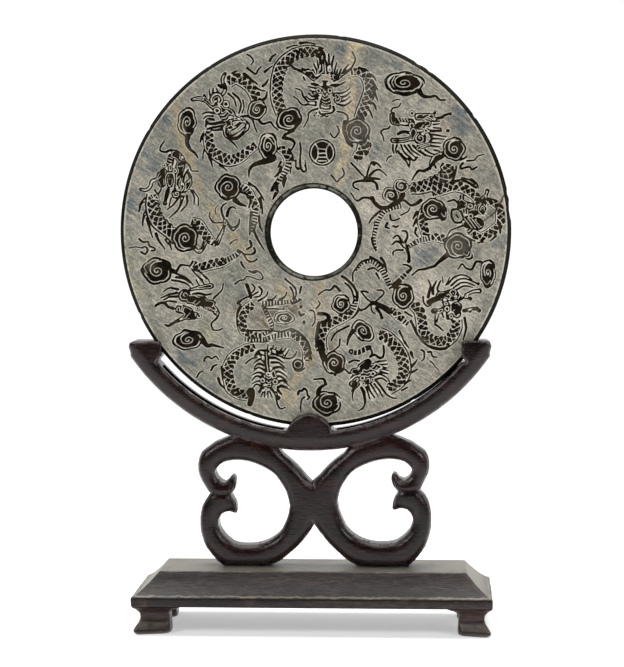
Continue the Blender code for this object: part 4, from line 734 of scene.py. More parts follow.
def draw_body(sheet, points, widths, belly):
    """A scaled body: a dark band with a light lattice, a scalloped belly and a light line along its back."""
    spine = smooth_line(points, 0.5)
    reach = travelled(spine)
    where, x, y = sheet.window(spine, max(widths) / 2 + 2)
    places = places_of(x, y)
    flat = places.reshape(-1, 2)
    nearest, closest = np.zeros(len(flat), int), np.full(len(flat), 1e9)
    for index, point in enumerate(spine):
        away = ((flat - point) ** 2).sum(axis=1)
        better = away < closest
        closest[better] = away[better]
        nearest[better] = index
    ahead = np.gradient(spine, axis=0)[nearest]
    offset = flat - spine[nearest]
    along = reach[nearest]
    side = belly * np.sign(ahead[:, 0] * offset[:, 1] - ahead[:, 1] * offset[:, 0]) * np.sqrt(closest)
    beyond = (offset * ahead).sum(axis=1) / np.maximum(np.hypot(*ahead.T), 1e-9)
    half = np.interp(along, [0, reach[-1] / 2, reach[-1]], widths) / 2
    scallop = SCALLOP_DEPTH * (np.abs(np.sin(along * math.pi / SCALLOP_LENGTH)) - 0.55) * (side < 0) * (half > 4)
    dark = covered(half + scallop - np.abs(side)) * np.clip(1.5 - np.abs(beyond), 0, 1)
    bent = along + 0.7 * ripple(flat, 5, 3)
    across = side + 0.5 * ripple(flat, 4, 5)
    light = np.zeros(len(flat))
    for slant in (1, -1):
        phase = ((bent + slant * across * 0.78) / SCALE_PITCH) % 1
        thick = SCALE_LINE - SCALE_LINE_THINNING * (ripple(flat, 2.6, 7 + slant) > 0.35)
        light = np.maximum(light, covered(thick - np.abs(phase - 0.5) * SCALE_PITCH))
    ribs = covered(RIB_LINE - np.abs((bent / RIB_PITCH) % 1 - 0.5) * RIB_PITCH)
    light = np.where(half < RIBBED_BELOW, ribs, light)
    back_place = half * BACK_LINE_PLACE
    back_line = covered(BACK_LINE - np.abs(side - back_place)) * (half > 3)
    light = np.where(side > back_place, back_line, np.maximum(light, back_line))
    light *= np.clip((half * 0.94 - np.abs(side)) / 0.4, 0, 1)
    shape = places.shape[:2]
    sheet.lay(where, dark.reshape(shape), False)
    sheet.lay(where, (light * (dark > 0.3)).reshape(shape), True)


def draw_cloud(sheet, x, y, half_width, half_height, turn, hand):
    """A dark cloud with a light spiral left standing in it."""
    turned = math.radians(turn)
    middle = np.array((x, y))
    axes = np.array([[math.cos(turned), math.sin(turned)], [-math.sin(turned), math.cos(turned)]])
    size = np.array((half_width, half_height))
    where, across, down = sheet.window(np.array([middle]), max(size) + 1)
    offset = places_of(across - x, down - y) @ axes.T
    angle = np.arctan2(offset[..., 1], offset[..., 0])
    ruffle = 0.95 + 0.11 * np.abs(np.sin(2.5 * angle + x))
    reach = np.hypot(offset[..., 0] / half_width, offset[..., 1] / half_height) / ruffle
    sheet.lay(where, covered((1 - reach) * min(size)), False)
    open_side = np.cos(angle - hand * math.radians(CLOUD_OPENING)) < 0.93
    sheet.lay(where, covered(CLOUD_LINE - np.abs(reach - CLOUD_LINE_PLACE) * min(size)) * open_side, True)
    steps = np.linspace(0, 1, 36)
    swing = hand * (math.radians(CLOUD_OPENING) + steps * SPIRAL_TURNS * 2 * math.pi)
    spiral = CLOUD_LINE_PLACE - 0.26 * np.minimum(steps * 6, 1) - 0.50 * steps ** 0.9
    points = np.column_stack([np.cos(swing), np.sin(swing)]) * spiral[:, None] * size
    sheet.stroke(middle + points @ axes, 1.15, 0.95, True)


def draw_medallion(sheet):
    """A round medallion with two facing shields between bars."""
    x, y, radius = MEDALLION
    sheet.spot(x, y, radius)
    ring = [(x + (radius - 2.2) * math.cos(turn), y + (radius - 2.2) * math.sin(turn))
            for turn in np.linspace(0, 2 * math.pi, 24)]
    sheet.stroke(ring, 1.1, 1.1, True)
    for side in (-1, 1):
        shield = [(x + side * 7.5, y - 9), (x + side * 4.4, y - 4), (x + side * 4.4, y + 4), (x + side * 7.5, y + 9)]
        sheet.stroke(shield, 1.2, 1.2, True)
    for height in (-3.5, 0.8, 4.6, 8.2):
        sheet.stroke([(x - 4.2, y + height), (x + 4.2, y + height)], 1.2, 1.2, True)


def drawing():
    """The whole drawing, kept clear of the rim and the hole and softened by the chisel."""
    sheet = Sheet()
    for body in BODIES:
        draw_body(sheet, pairs(body[4:]), body[:3], body[3])
    for cloud in CLOUDS:
        draw_cloud(sheet, *cloud)
    for marks in (TAILS, CLOUD_LOBES, SMALL_MARKS, CLAWS_AND_FINS):
        sheet.marks(marks)
    plain = sheet.cut.copy()
    for head in HEADS:
        sheet.marks(head)
    line_wide_cuts(sheet, plain)
    draw_medallion(sheet)
    x, y = sheet.x[None, :], sheet.y[:, None]
    rim = np.hypot(x - SHEET_MIDDLE[0], y - SHEET_MIDDLE[1])
    hole = np.hypot(x - SHEET_HOLE[0], y - SHEET_HOLE[1])
    field = sheet.cut * (rim < SHEET_REACH) * (hole > SHEET_HOLE[2])
    return softened(field)


def line_wide_cuts(sheet, before):
    """Leave a broken light line standing inside the wide areas that the heads' cuts added."""
    inside = softened(sheet.cut, *BROAD[:3])
    new = (sheet.cut > 0.5) & (softened(np.abs(sheet.cut - before), *BROAD[:3]) > 0.5)
    flat = places_of(sheet.x[None, :], sheet.y[:, None]).reshape(-1, 2)
    broken = (ripple(flat, 5, 21) > -0.35).reshape(inside.shape)
    contour = np.clip(1.35 - np.abs(inside - 0.90) / 0.045, 0, 1)
    combed = np.clip(np.sin((flat[:, 0] + 1.3 * flat[:, 1]) / 0.95 + 3 * ripple(flat, 9, 22)) * 2 - 0.9, 0, 1)
    combed = combed.reshape(inside.shape) * (inside > 0.965) * (ripple(flat, 4, 23) > 0).reshape(inside.shape)
    sheet.cut = np.minimum(sheet.cut, 1 - np.maximum(contour, combed) * new * broken)


def softened(field, *reaches):
    """A field blurred a little, then once more for each reach in cells."""
    for reach in (1,) + reaches:
        for axis in (0, 1):
            field = 0.25 * np.roll(field, reach, axis) + 0.5 * field + 0.25 * np.roll(field, -reach, axis)
    return field


def level_lines(field, level, tolerance):
    """The closed level lines of a field, in cells, as loops of points."""
    rows, columns = field.shape
    inside = field > level
    code = inside[:-1, :-1] * 1 + inside[:-1, 1:] * 2 + inside[1:, 1:] * 4 + inside[1:, :-1] * 8
    # Cell sides: 0 top, 1 right, 2 bottom, 3 left; each entry goes round the inside in one direction
    turns = {1: [(0, 3)], 2: [(1, 0)], 3: [(1, 3)], 4: [(2, 1)], 5: [(0, 3), (2, 1)], 6: [(2, 0)], 7: [(2, 3)],
             8: [(3, 2)], 9: [(0, 2)], 10: [(1, 0), (3, 2)], 11: [(1, 2)], 12: [(3, 1)], 13: [(0, 1)], 14: [(3, 0)]}
    upright = rows * columns
    following = {}
    for value, links in turns.items():
        row, column = np.nonzero(code == value)
        sides = (row * columns + column, upright + row * columns + column + 1,
                 (row + 1) * columns + column, upright + row * columns + column)
        for start, end in links:
            following.update(zip(sides[start].tolist(), sides[end].tolist()))
    loops = []
    while following:
        first, current = following.popitem()
        loop = [first]
        while current != first and current in following:
            loop.append(current)
            current = following.pop(current)
        if len(loop) > 5:
            loops.append(simpler(crossings(field, level, np.array(loop)), tolerance))
    return [loop for loop in loops if len(loop) > 3]


def crossings(field, level, keys):
    """Where a level line crosses the sides of its cells."""
    rows, columns = field.shape
    upright = keys >= rows * columns
    cell = keys % (rows * columns)
    row, column = cell // columns, cell % columns
    here = field[row, column]
    there = field[np.where(upright, row + 1, row), np.where(upright, column, column + 1)]
    share = (level - here) / (there - here)
    return np.column_stack([column + np.where(upright, 0, share), row + np.where(upright, share, 0)])


def simpler(loop, tolerance):
    """A loop without the points that lie almost on the line between their neighbours."""
    for _ in range(5):
        if len(loop) < 8:
            return loop
        before, after = np.roll(loop, 1, axis=0), np.roll(loop, -1, axis=0)
        along = after - before
        length = np.maximum(np.hypot(*along.T), 1e-9)
        away = np.abs(along[:, 0] * (loop - before)[:, 1] - along[:, 1] * (loop - before)[:, 0]) / length
        drop = (away < tolerance) & (np.arange(len(loop)) % 2 == 1) & (length < 14)
        loop = loop[~drop]
    return loop


def sampled(field, points):
    """A field's values between its cells."""
    column = np.clip(points[:, 0], 0, field.shape[1] - 1.001)
    row = np.clip(points[:, 1], 0, field.shape[0] - 1.001)
    x, y = column.astype(int), row.astype(int)
    across, down = column - x, row - y
    top = field[y, x] * (1 - across) + field[y, x + 1] * across
    bottom = field[y + 1, x] * (1 - across) + field[y + 1, x + 1] * across
    return top * (1 - down) + bottom * down


def camera_axes():
    """The camera's right, up and forward directions."""
    forward = Vector((-math.sin(CAMERA_YAW) * math.cos(CAMERA_PITCH), math.cos(CAMERA_YAW) * math.cos(CAMERA_PITCH),
                      math.sin(CAMERA_PITCH)))
    right = Vector((math.cos(CAMERA_YAW), math.sin(CAMERA_YAW), 0))
    up = right.cross(forward)
    rolled = math.cos(CAMERA_ROLL) * right + math.sin(CAMERA_ROLL) * up
    return rolled, math.cos(CAMERA_ROLL) * up - math.sin(CAMERA_ROLL) * right, forward


def on_face(points):
    """Points of the sheet, put where the camera sees them on the front face, as x and height from the middle."""
    right, up, forward = (np.array(axis) for axis in camera_axes())
    points = np.asarray(points, float)
    across = (points[:, 0] - IMAGE_WIDTH / 2) / FOCAL_PIXELS
    down = (points[:, 1] - IMAGE_HEIGHT / 2) / FOCAL_PIXELS
    ways = forward + across[:, None] * right - down[:, None] * up
    reach = (-DISC_HALF - CAMERA_PLACE.y) / ways[:, 1]
    x = CAMERA_PLACE.x + reach * ways[:, 0]
    z = CAMERA_PLACE.z + reach * ways[:, 2] - DISC_HEIGHT
    return np.column_stack([x, z])


def circle(middle, radius, steps=ROUND_STEPS):
    """Points round a circle."""
    turn = np.linspace(0, 2 * math.pi, steps, endpoint=False)
    return np.column_stack([middle[0] + radius * np.cos(turn), middle[1] + radius * np.sin(turn)])


def triangulated(loops, loose=()):
    """Points of the plane, triangles and each point's sources, with every loop's edges kept."""
    points, edges = [], []
    for loop in loops:
        start = len(points)
        points.extend(Vector((x / MM, y / MM)) for x, y in loop.tolist())
        edges.extend((start + index, start + (index + 1) % len(loop)) for index in range(len(loop)))
    points.extend(Vector((x / MM, y / MM)) for x, y in loose)
    corners, _, faces, sources, _, _ = delaunay_2d_cdt(points, edges, [], 0, 1e-5)
    return np.array([corner[:] for corner in corners]) * MM, np.array(faces), sources


def cut_face(field, border_reaches, border_level, tolerance, place):
    """Points of a face, their depth, paleness and crowding, and its triangles; place puts sheet points on it."""
    crowd = softened(field, *BROAD)
    rings = [circle((0, 0), FACE_RADIUS), circle(HOLE_MIDDLE, HOLE_MOUTH)]
    values = [(0.0, 0.0, 0.0)] * (2 * ROUND_STEPS)
    # The border outside each cut, where the painted highlight fades out, the cut's edge, where it is full, and its
    # floor
    for source, level, straying, value in ((softened(field, *border_reaches), border_level, 0.3, (0.0, 0.0)),
                                           (field, CUT_START, tolerance, (0.0, 1.0)),
                                           (field, CUT_FLOOR, tolerance, (1.0, 0.0))):
        for loop in level_lines(source, level, straying):
            rings.append(place(SHEET_CORNER + loop * SHEET_PITCH))
            values.extend((*value, crowded) for crowded in sampled(crowd, loop))
    values = np.array(values)
    flat, faces, sources = triangulated(rings)
    kept = np.array([values[source].mean(axis=0) if source else (0.5, 0.5, 0.5) for source in sources])
    from_hole = np.hypot(*(flat[faces].mean(axis=1) - HOLE_MIDDLE).T)
    return flat, kept, faces[from_hole > HOLE_MOUTH * 0.9995]


def by_hand(points):
    """Points of the sheet on the front face, with the unevenness of the carver's hand."""
    wobble = np.column_stack([ripple(points, 3.5, seed) for seed in (11, 12)]) * HAND_WOBBLE
    return on_face(points + wobble)


def back_drawing():
    """The plainer drawing of the back: a ring of clouds inside a line border."""
    sheet = Sheet()
    middle = np.array(SHEET_MIDDLE)
    for index in range(BACK_CLOUDS):
        turn = 2 * math.pi * index / BACK_CLOUDS
        x, y = middle + BACK_CLOUD_RADIUS * np.array((math.cos(turn), math.sin(turn)))
        draw_cloud(sheet, x, y, 26, 18, math.degrees(turn) + 90, 1)
        tail = [middle + (BACK_CLOUD_RADIUS + 14 * math.sin(3 * step))
                * np.array((math.cos(turn + step), math.sin(turn + step))) for step in np.linspace(0.22, 0.78, 7)]
        sheet.stroke(tail, 7, 1.6)
    for radius in BACK_BORDERS:
        ring = middle + radius * circle((0, 0), 1, 90)
        sheet.stroke(np.vstack([ring, ring[:1]]), 1.8, 1.8)
    return softened(sheet.cut)


def on_back(points):
    """Points of the sheet on the back face."""
    return (points - np.array(SHEET_MIDDLE)) * (DISC_RADIUS / SHEET_RIM)


def keep_on(mesh, name, values):
    """Keep a number on each point of a mesh for its finish."""
    mesh.attributes.new(name, "FLOAT", "POINT").data.foreach_set("value", np.asarray(values, np.float32))


def add_item(name, data):
    """An object with its data, in the scene."""
    item = bpy.data.objects.new(name, data)
    bpy.context.scene.collection.objects.link(item)
    return item


def add_piece(name, points, faces):
    """A mesh object from arrays."""
    mesh = bpy.data.meshes.new(name)
    mesh.from_pydata([tuple(point) for point in points], [], [tuple(face) for face in faces])
    return add_item(name, mesh)


def add_shape(name, operation, **settings):
    """A mesh object from one of the standard shapes."""
    data = bmesh.new()
    operation(data, cap_ends=True, **settings)
    mesh = bpy.data.meshes.new(name)
    data.to_mesh(mesh)
    data.free()
    return add_item(name, mesh)


def shade(item, angle):
    """Shade a piece smooth, with sharp edges from an angle."""
    item.data.polygons.foreach_set("use_smooth", [True] * len(item.data.polygons))
    item.data.set_sharp_from_angle(angle=math.radians(angle))


def weld(item, distance=0.002 * MM):
    """Merge the points that meet and turn the faces outwards."""
    data = bmesh.new()
    data.from_mesh(item.data)
    bmesh.ops.remove_doubles(data, verts=data.verts, dist=distance)
    bmesh.ops.recalc_face_normals(data, faces=data.faces)
    data.to_mesh(item.data)
    data.free()


def round_quads(rows, count, start=0):
    """Quads between rows of points that each go round once."""
    return [(start + row * count + index, start + row * count + (index + 1) % count,
             start + (row + 1) * count + (index + 1) % count, start + (row + 1) * count + index)
            for row in range(rows - 1) for index in range(count)]


def edge_band(middle, half_profile, start, chips=()):
    """Points and quads round a ring, numbered from start, through radii and heights mirrored from face to face."""
    profile = [(radius, -y * MM) for radius, y in half_profile]
    profile += [(radius, y * MM) for radius, y in reversed(half_profile)]
    turn = np.linspace(0, 2 * math.pi, ROUND_STEPS, endpoint=False)
    points = []
    for index, (radius, y) in enumerate(profile):
        reach = np.full(ROUND_STEPS, radius)
        if 0 < index < len(profile) - 1:
            for angle, width, depth in chips:
                apart = np.abs((turn - math.radians(angle) + math.pi) % (2 * math.pi) - math.pi)
                reach -= depth * MM * np.clip(1 - apart / math.radians(width), 0, 1) ** 0.6
        points.append(np.column_stack([middle[0] + reach * np.cos(turn), np.full(ROUND_STEPS, y),
                                       DISC_HEIGHT + middle[1] + reach * np.sin(turn)]))
    return np.vstack(points), round_quads(len(profile), ROUND_STEPS, start)


# Chips in the rim: angle and half width in degrees, and depth in millimetres
RIM_CHIPS = [(58, 1.2, 0.7), (54, 0.8, 0.5), (35.5, 1.0, 0.6), (82, 0.7, 0.4), (6, 3.0, 1.0), (11, 1.2, 0.6),
             (148, 0.8, 0.4), (205, 1.0, 0.5), (250, 0.8, 0.4), (300, 1.0, 0.5), (122, 0.6, 0.3)]


def build_disc():
    """The carved stone disc as one closed piece."""
    rim = [(FACE_RADIUS, 6), (147.1 * MM, 5.85), (148.6 * MM, 4.5), (149.5 * MM, 3.5), (149.95 * MM, 2.4)]
    hole = [(HOLE_MOUTH, 6), (36.7 * MM, 5.85), (34.2 * MM, 3.95), (33.6 * MM, 3.3), (HOLE_RADIUS, 2.8)]
    points, faces, kept = [], [], []
    count = 0
    for side, depth, (flat, values, triangles) in (
            (-1, CARVING_DEPTH, cut_face(drawing(), (2, 2), 0.07, 0.16, by_hand)),
            (1, BACK_DEPTH, cut_face(back_drawing(), (2, 3), 0.10, 0.3, on_back))):
        y = side * (DISC_HALF - values[:, 0] * depth)
        points.append(np.column_stack([flat[:, 0], y, DISC_HEIGHT + flat[:, 1]]))
        kept.append(values)
        faces.extend((triangles + count).tolist())
        count += len(flat)
    for middle, profile, chips in (((0, 0), rim, RIM_CHIPS), (HOLE_MIDDLE, hole, ())):
        band, quads = edge_band(middle, profile, count, chips)
        points.append(band)
        kept.append(np.zeros((len(band), 3)))
        faces.extend(quads)
        count += len(band)
    disc = add_piece("carved_disc", np.vstack(points), faces)
    for name, values in zip(("sunk", "edge_highlight", "crowded"), np.vstack(kept).T):
        keep_on(disc.data, name, values)
    weld(disc)
    shade(disc, 32)
    return disc


def horn_outline(lip):
    """One horn from the inner arc over its lip and top to the outer arc, about the cradle's middle, in metres."""
    low = HORN_TOP + HORN_LIP_HEIGHT
    corners = [(lip, 3.4, low, 4.6), (lip, 0.2, low, 0.6), (lip, -0.3, low, -2), (lip, 0, HORN_TOP, 2.2),
               (lip, 0.5, HORN_TOP, 0.6), (lip, 1.6, HORN_TOP, 0), (HORN_END, -4, HORN_TOP, 0),
               (HORN_END, -1, HORN_TOP, 1.2), (HORN_END, 0, HORN_TOP, 4), (HORN_END, -1.2, HORN_TOP, 9)]
    return [(x + out * MM, -drop - down * MM) for x, out, drop, down in corners]


def arc_points(middle, radius, start, end, steps):
    """Points on an arc with angles in degrees."""
    turn = np.radians(np.linspace(start, end, steps))
    return [(middle[0] + radius * math.cos(angle), middle[1] + radius * math.sin(angle)) for angle in turn]


def crescent_outline():
    """The cradle's crescent from the front, about its middle."""
    outer = CRADLE_RADIUS + CRADLE_THICKNESS
    halves = []
    for lip in (HORN_LIP_RIGHT, HORN_LIP_LEFT):
        horn = horn_outline(lip)
        inner_end = math.degrees(math.asin((horn[0][1] - 1 * MM) / CRADLE_RADIUS))
        outer_start = math.degrees(math.asin((horn[-1][1] - 3 * MM) / outer))
        half = arc_points((0, 0), CRADLE_RADIUS, -90, inner_end, 60) + horn
        halves.append(half + arc_points((0, 0), outer, outer_start, -90, 80)[:-1])
    right, mirrored = halves
    return right + [(-x, y) for x, y in reversed(mirrored)][:-1]


def scroll_point(point, hand):
    """A point of the scrolls at its place; the right scroll is a little higher half way up."""
    x, y = point
    share = y / SCROLL_RISE
    lift = SCROLL_RIGHT_LIFT * max(0, 4 * share * (1 - share)) if hand > 0 else 0
    if hand > 0:
        x -= SCROLL_RIGHT_SPREAD * min(max((-x - 45) / 25, 0), 1) * min(max((66 - y) / 14, 0), 1)
    return (SCROLL_PLACE[0] - hand * x * MM, SCROLL_PLACE[1] + (y + lift) * MM)


def outline_distance(outlines, x, z):
    """How far each point of a grid lies inside some outlines, negative outside."""
    flat = np.column_stack([x.ravel(), z.ravel()])
    closest = np.full(len(flat), 1e9)
    inside = np.zeros(len(flat), bool)
    for outline in outlines:
        corners = np.array(outline)
        for first, second in zip(corners, np.roll(corners, -1, axis=0)):
            along = second - first
            share = np.clip(((flat - first) @ along) / max(along @ along, 1e-15), 0, 1)
            away = flat - first - share[:, None] * along
            closest = np.minimum(closest, (away ** 2).sum(axis=1))
            crosses = (first[1] > flat[:, 1]) != (second[1] > flat[:, 1])
            if first[1] != second[1]:
                meet = first[0] + (flat[:, 1] - first[1]) / (second[1] - first[1]) * along[0]
                inside ^= crosses & (flat[:, 0] < meet)
    return (np.sqrt(closest) * np.where(inside, 1, -1)).reshape(x.shape)


def smooth_outline(points, pitch):
    """A closed smooth line through some points."""
    knots = np.array(points, float)
    wrapped = np.vstack([knots[-2:], knots, knots[:3]])
    fine = smooth_line(wrapped, pitch)
    start = np.argmin(((fine[: len(fine) // 2] - knots[0]) ** 2).sum(axis=1))
    tail = fine[len(fine) // 2:]
    end = len(fine) // 2 + np.argmin(((tail - knots[0]) ** 2).sum(axis=1))
    return fine[start:end]


def rounded(away, depth, rounding, crown):
    """Half the thickness of a board with rounded edges and a slight crown, at a distance from its edge."""
    near = np.clip(away, 0, rounding)
    edge = depth / 2 - crown - rounding + np.sqrt(np.maximum(rounding ** 2 - (rounding - near) ** 2, 0))
    return edge + crown * (1 - np.exp(-np.maximum(away, 0) / (1.6 * rounding)))


def scroll_distance(x, z):
    """How far each point of a grid lies inside the scrolls."""
    left_half = SCROLL_SIDE + SCROLL_INSIDE_LOW
    outer = [scroll_point(point, -1) for point in left_half]
    outer += [scroll_point(point, 1) for point in reversed(left_half)]
    outer += [scroll_point(point, 1) for point in reversed(SCROLL_INSIDE_HIGH)]
    outer += [scroll_point(point, -1) for point in SCROLL_INSIDE_HIGH]
    voids = [smooth_outline([scroll_point(point, hand) for point in SCROLL_VOID], 1 * MM) for hand in (-1, 1)]
    away = outline_distance([outer] + voids, x, z) + SCROLL_FULLNESS
    return np.where(z < SCROLL_PLACE[1] + 0.01 * MM, -1 * MM, away)


def scroll_cradle_fields():
    """The corner of the cradle's grid, and on the grid the outline field and the half thickness."""
    xs, zs = (np.arange(*ends, CRADLE_GRID) * MM for ends in (CRADLE_ACROSS, CRADLE_UP))
    x, z = np.meshgrid(xs, zs)
    middle_x, middle_z = CRADLE_MIDDLE
    crescent_away = outline_distance([[(middle_x + px, middle_z + pz) for px, pz in crescent_outline()]], x, z)
    hump_height = middle_z - CRADLE_RADIUS - HUMP_DROP
    hump_away = HUMP_RADIUS - np.hypot(x - middle_x, z - hump_height)
    hump_away = np.minimum(hump_away, z - hump_height + HUMP_FOOT)
    body_away = np.maximum(crescent_away, hump_away)
    scroll_away = scroll_distance(x, z)
    scroll_half = rounded(softened(scroll_away, 8), SCROLL_DEPTH, SCROLL_ROUNDING, SCROLL_CROWN)
    for first, second, deep, reach in SCROLL_CREASES:
        for hand in ((-1, 1) if first[0] else (1,)):
            ends = [np.array(scroll_point(point, hand)) for point in (first, second)]
            scroll_half -= deep * MM * np.exp(-(from_segment(x, z, *ends) / (reach * MM)) ** 1.4)
    outer_away = CRADLE_RADIUS + CRADLE_THICKNESS - np.hypot(x - middle_x, z - middle_z)
    fall = CRADLE_EDGE_FALL * np.clip(1 - outer_away / CRADLE_EDGE_REACH, 0, 1) ** 1.7
    front_away = np.maximum(crescent_away, np.minimum(hump_away, 9 * MM))
    body_half = rounded(front_away, CRADLE_DEPTH, CRADLE_ROUNDING, CRADLE_CROWN) - fall
    union = np.maximum(body_away, scroll_away)
    half = np.maximum(np.where(scroll_away > 0, scroll_half, 0), np.where(body_away > 0, body_half, 0))
    edge_half = np.where(body_away >= scroll_away, CRADLE_DEPTH / 2 - CRADLE_ROUNDING - CRADLE_CROWN - fall,
                         SCROLL_DEPTH / 2 - SCROLL_ROUNDING - SCROLL_CROWN)
    return np.array((xs[0], zs[0])), union, np.where(union <= 0, edge_half, half)


def build_scroll_cradle():
    """The crescent cradle with its horns and hump, carved in one with the two open scrolls."""
    corner, union, half = scroll_cradle_fields()
    pitch = CRADLE_GRID * MM
    rings = [corner + loop * pitch for level, tolerance in CRADLE_LEVELS
             for loop in level_lines(union, level * MM, tolerance)]
    grid_x, grid_z = np.meshgrid(np.arange(0, union.shape[1], 2), np.arange(0, union.shape[0], 2))
    cells = np.column_stack([grid_x.ravel(), grid_z.ravel()])
    deep = union[cells[:, 1], cells[:, 0]] > 2.4 * MM
    flat, faces, _ = triangulated(rings, corner + cells[deep] * pitch)
    spots = (flat - corner) / pitch
    faces = faces[sampled(union, spots[faces].mean(axis=1)) > 0]
    used, numbers = np.unique(faces, return_inverse=True)
    faces, flat, spots = numbers.reshape(-1, 3), flat[used], spots[used]
    thick = sampled(half, spots)
    height = np.maximum(flat[:, 1], SCROLL_PLACE[1])
    points = np.vstack([np.column_stack([flat[:, 0], side * thick, height]) for side in (-1, 1)])
    edges = dict.fromkeys(edge for a, b, c in faces.tolist() for edge in ((a, b), (b, c), (c, a)))
    count = len(flat)
    quads = [(b, a, a + count, b + count) for a, b in edges if (b, a) not in edges]
    item = add_piece("carved_cradle", points, faces.tolist() + (faces[:, ::-1] + count).tolist() + quads)
    weld(item)
    cut_away(item, slot_cutter())
    hump_end = math.degrees(math.asin((HUMP_RADIUS + GROOVE_DEPTH) / CRADLE_RADIUS)) - 90
    horn_end = -math.degrees(math.asin((HORN_TOP + HORN_LIP_HEIGHT + 8 * MM) / CRADLE_RADIUS))
    for start, end in ((hump_end, horn_end), (-180 - horn_end, -180 - hump_end)):
        cut_away(item, groove_cutter(start, end))
    item.data.name = item.name
    places = np.empty(len(item.data.vertices) * 3)
    item.data.vertices.foreach_get("co", places)
    places = places.reshape(-1, 3)
    cells = (places[:, (0, 2)] - corner) / pitch
    away, thick = sampled(union, cells), sampled(half, cells)
    # The band near the front edges that the finish paints lighter, partly as wear and partly as a painted highlight
    arris = np.exp(-((away - 0.9 * MM) / (0.8 * MM)) ** 2) * (np.abs(places[:, 1]) > thick - 1.5 * MM)
    keep_on(item.data, "arris", arris)
    shade(item, 38)
    return item


def groove_cutter(start, end):
    """A bent bar that cuts the disc's groove into the cradle between two angles in degrees."""
    inner = arc_points(CRADLE_MIDDLE, CRADLE_RADIUS - 6 * MM, start, end, 120)
    outline = inner + arc_points(CRADLE_MIDDLE, CRADLE_RADIUS + GROOVE_DEPTH, end, start, 120)
    count = len(outline)
    points = [(x, y, z) for y in (-SLOT_HALF, SLOT_HALF) for x, z in outline]
    faces = [tuple(range(count)), tuple(range(2 * count - 1, count - 1, -1))]
    faces += [(index, index + count, (index + 1) % count + count, (index + 1) % count) for index in range(count)]
    item = add_piece("groove tool", points, faces)
    weld(item)
    return item


def slot_cutter():
    """A flat round cutter for the disc's slot across the stand."""
    item = add_shape("slot tool", bmesh.ops.create_cone, segments=480, radius1=SLOT_RADIUS, radius2=SLOT_RADIUS,
                     depth=2 * SLOT_HALF)
    item.data.transform(Matrix.Translation((0, 0, DISC_HEIGHT)) @ Matrix.Rotation(math.pi / 2, 4, "X"))
    return item


def cut_away(item, tool):
    """Subtract a tool from a piece for good and remove the tool."""
    modifier = item.modifiers.new("cut", "BOOLEAN")
    modifier.operation = "DIFFERENCE"
    modifier.solver = "EXACT"
    modifier.object = tool
    graph = bpy.context.evaluated_depsgraph_get()
    mesh = bpy.data.meshes.new_from_object(item.evaluated_get(graph))
    item.modifiers.clear()
    item.data = mesh
    bpy.data.objects.remove(tool, do_unlink=True)


def rounded_rectangle(half_x, half_y, radius, pitch):
    """Points round a rectangle with rounded corners, in order, as many as on the slab's own outline."""
    radius = min(radius, half_x * 0.98, half_y * 0.98)
    steps = [max(2, round(side / pitch)) for side in (SLAB_WIDTH, SLAB_DEPTH)]
    corners = [(half_x - radius, half_y - radius, 0), (-half_x + radius, half_y - radius, 90),
               (-half_x + radius, -half_y + radius, 180), (half_x - radius, -half_y + radius, 270)]
    bends = [arc_points((x, y), radius, start, start + 90, 5) for x, y, start in corners]
    points = []
    for index, bend in enumerate(bends):
        straight = np.linspace(bend[-1], bends[(index + 1) % 4][0], steps[index % 2] + 1)[1:-1]
        points.extend(bend)
        points.extend(tuple(point) for point in straight)
    return points


def loft(name, rings, smooth_angle):
    """A closed loft through level rings, its first and last ones filled."""
    count = len(rings[0])
    points = [point for ring in rings for point in ring]
    top = tuple(range(len(points) - count, len(points)))
    item = add_piece(name, points, [tuple(range(count))[::-1], *round_quads(len(rings), count), top])
    weld(item)
    shade(item, smooth_angle)
    return item


def build_slab():
    """The slab: worn fascia, hollow bevel and top, a little uneven."""
    profile = [(1.4, 0), (0.5, 0.3), (0.15, 1), (0.1, 2.5), (0.1, 5), (0.15, 6.6), (0.5, 7.3), (1.2, 7.7)]
    for share in np.linspace(0.06, 1, 18):
        inset = 1.2 + (SLAB_BEVEL_INSET / MM - 1.2) * share
        height = SLAB_FASCIA / MM + SLAB_BEVEL_HEIGHT / MM * share ** 1.3
        profile.append((inset, height))
    top = profile[-1][1]
    profile[-1] = (profile[-1][0] - 0.3, top - 0.35)
    profile.append((20.2, top - 0.08))
    profile.extend((inset, top) for inset in (21, 24, 28, 32, 36, 40, 45.3))
    rings = []
    for inset, height in profile:
        corner = 1.6 if inset < 20 else 0.8
        outline = rounded_rectangle(SLAB_WIDTH / 2 - inset * MM, SLAB_DEPTH / 2 - inset * MM, corner * MM, 3 * MM)
        ring = []
        for x, y in outline:
            spot = Vector((x * SLAB_WEAR_SIZE, y * SLAB_WEAR_SIZE, height * MM * SLAB_WEAR_SIZE))
            dip = 0.25 * MM * (0.5 + 0.5 * noise.noise(spot)) + 0.12 * MM * abs(noise.noise(spot * 5))
            pull = 1 - dip * (inset < 20.5) / (SLAB_DEPTH / 2)
            lower = dip * (0.6 if 1 < height < top else 0.9) if height > 1 else 0
            ring.append((SLAB_SHIFT + x * pull, y * pull, SLAB_BOTTOM + height * MM - lower))
        rings.append(ring)
    return loft("bevelled_slab", rings, 34)


def foot_sections():
    """The foot's level sections from the floor up: share of its height, outer side and inner side, smoothed."""
    heights, *sides = np.array(FOOT_PROFILE).T
    shares = np.concatenate([np.linspace(0, 0.2, 10), np.linspace(0.22, 1, 32)])
    kernel = np.array([1, 2, 3, 2, 1]) / 9
    smooth = []
    for side in sides:
        values = np.interp(shares, heights, side)
        smooth.append(np.concatenate([values[:2], np.convolve(values, kernel, "same")[2:-2], values[-2:]]))
    return zip(shares, *smooth)


def towards(here, other, reach):
    """The point at a reach from one point towards another."""
    return here + (other - here) / np.hypot(*(other - here)) * reach


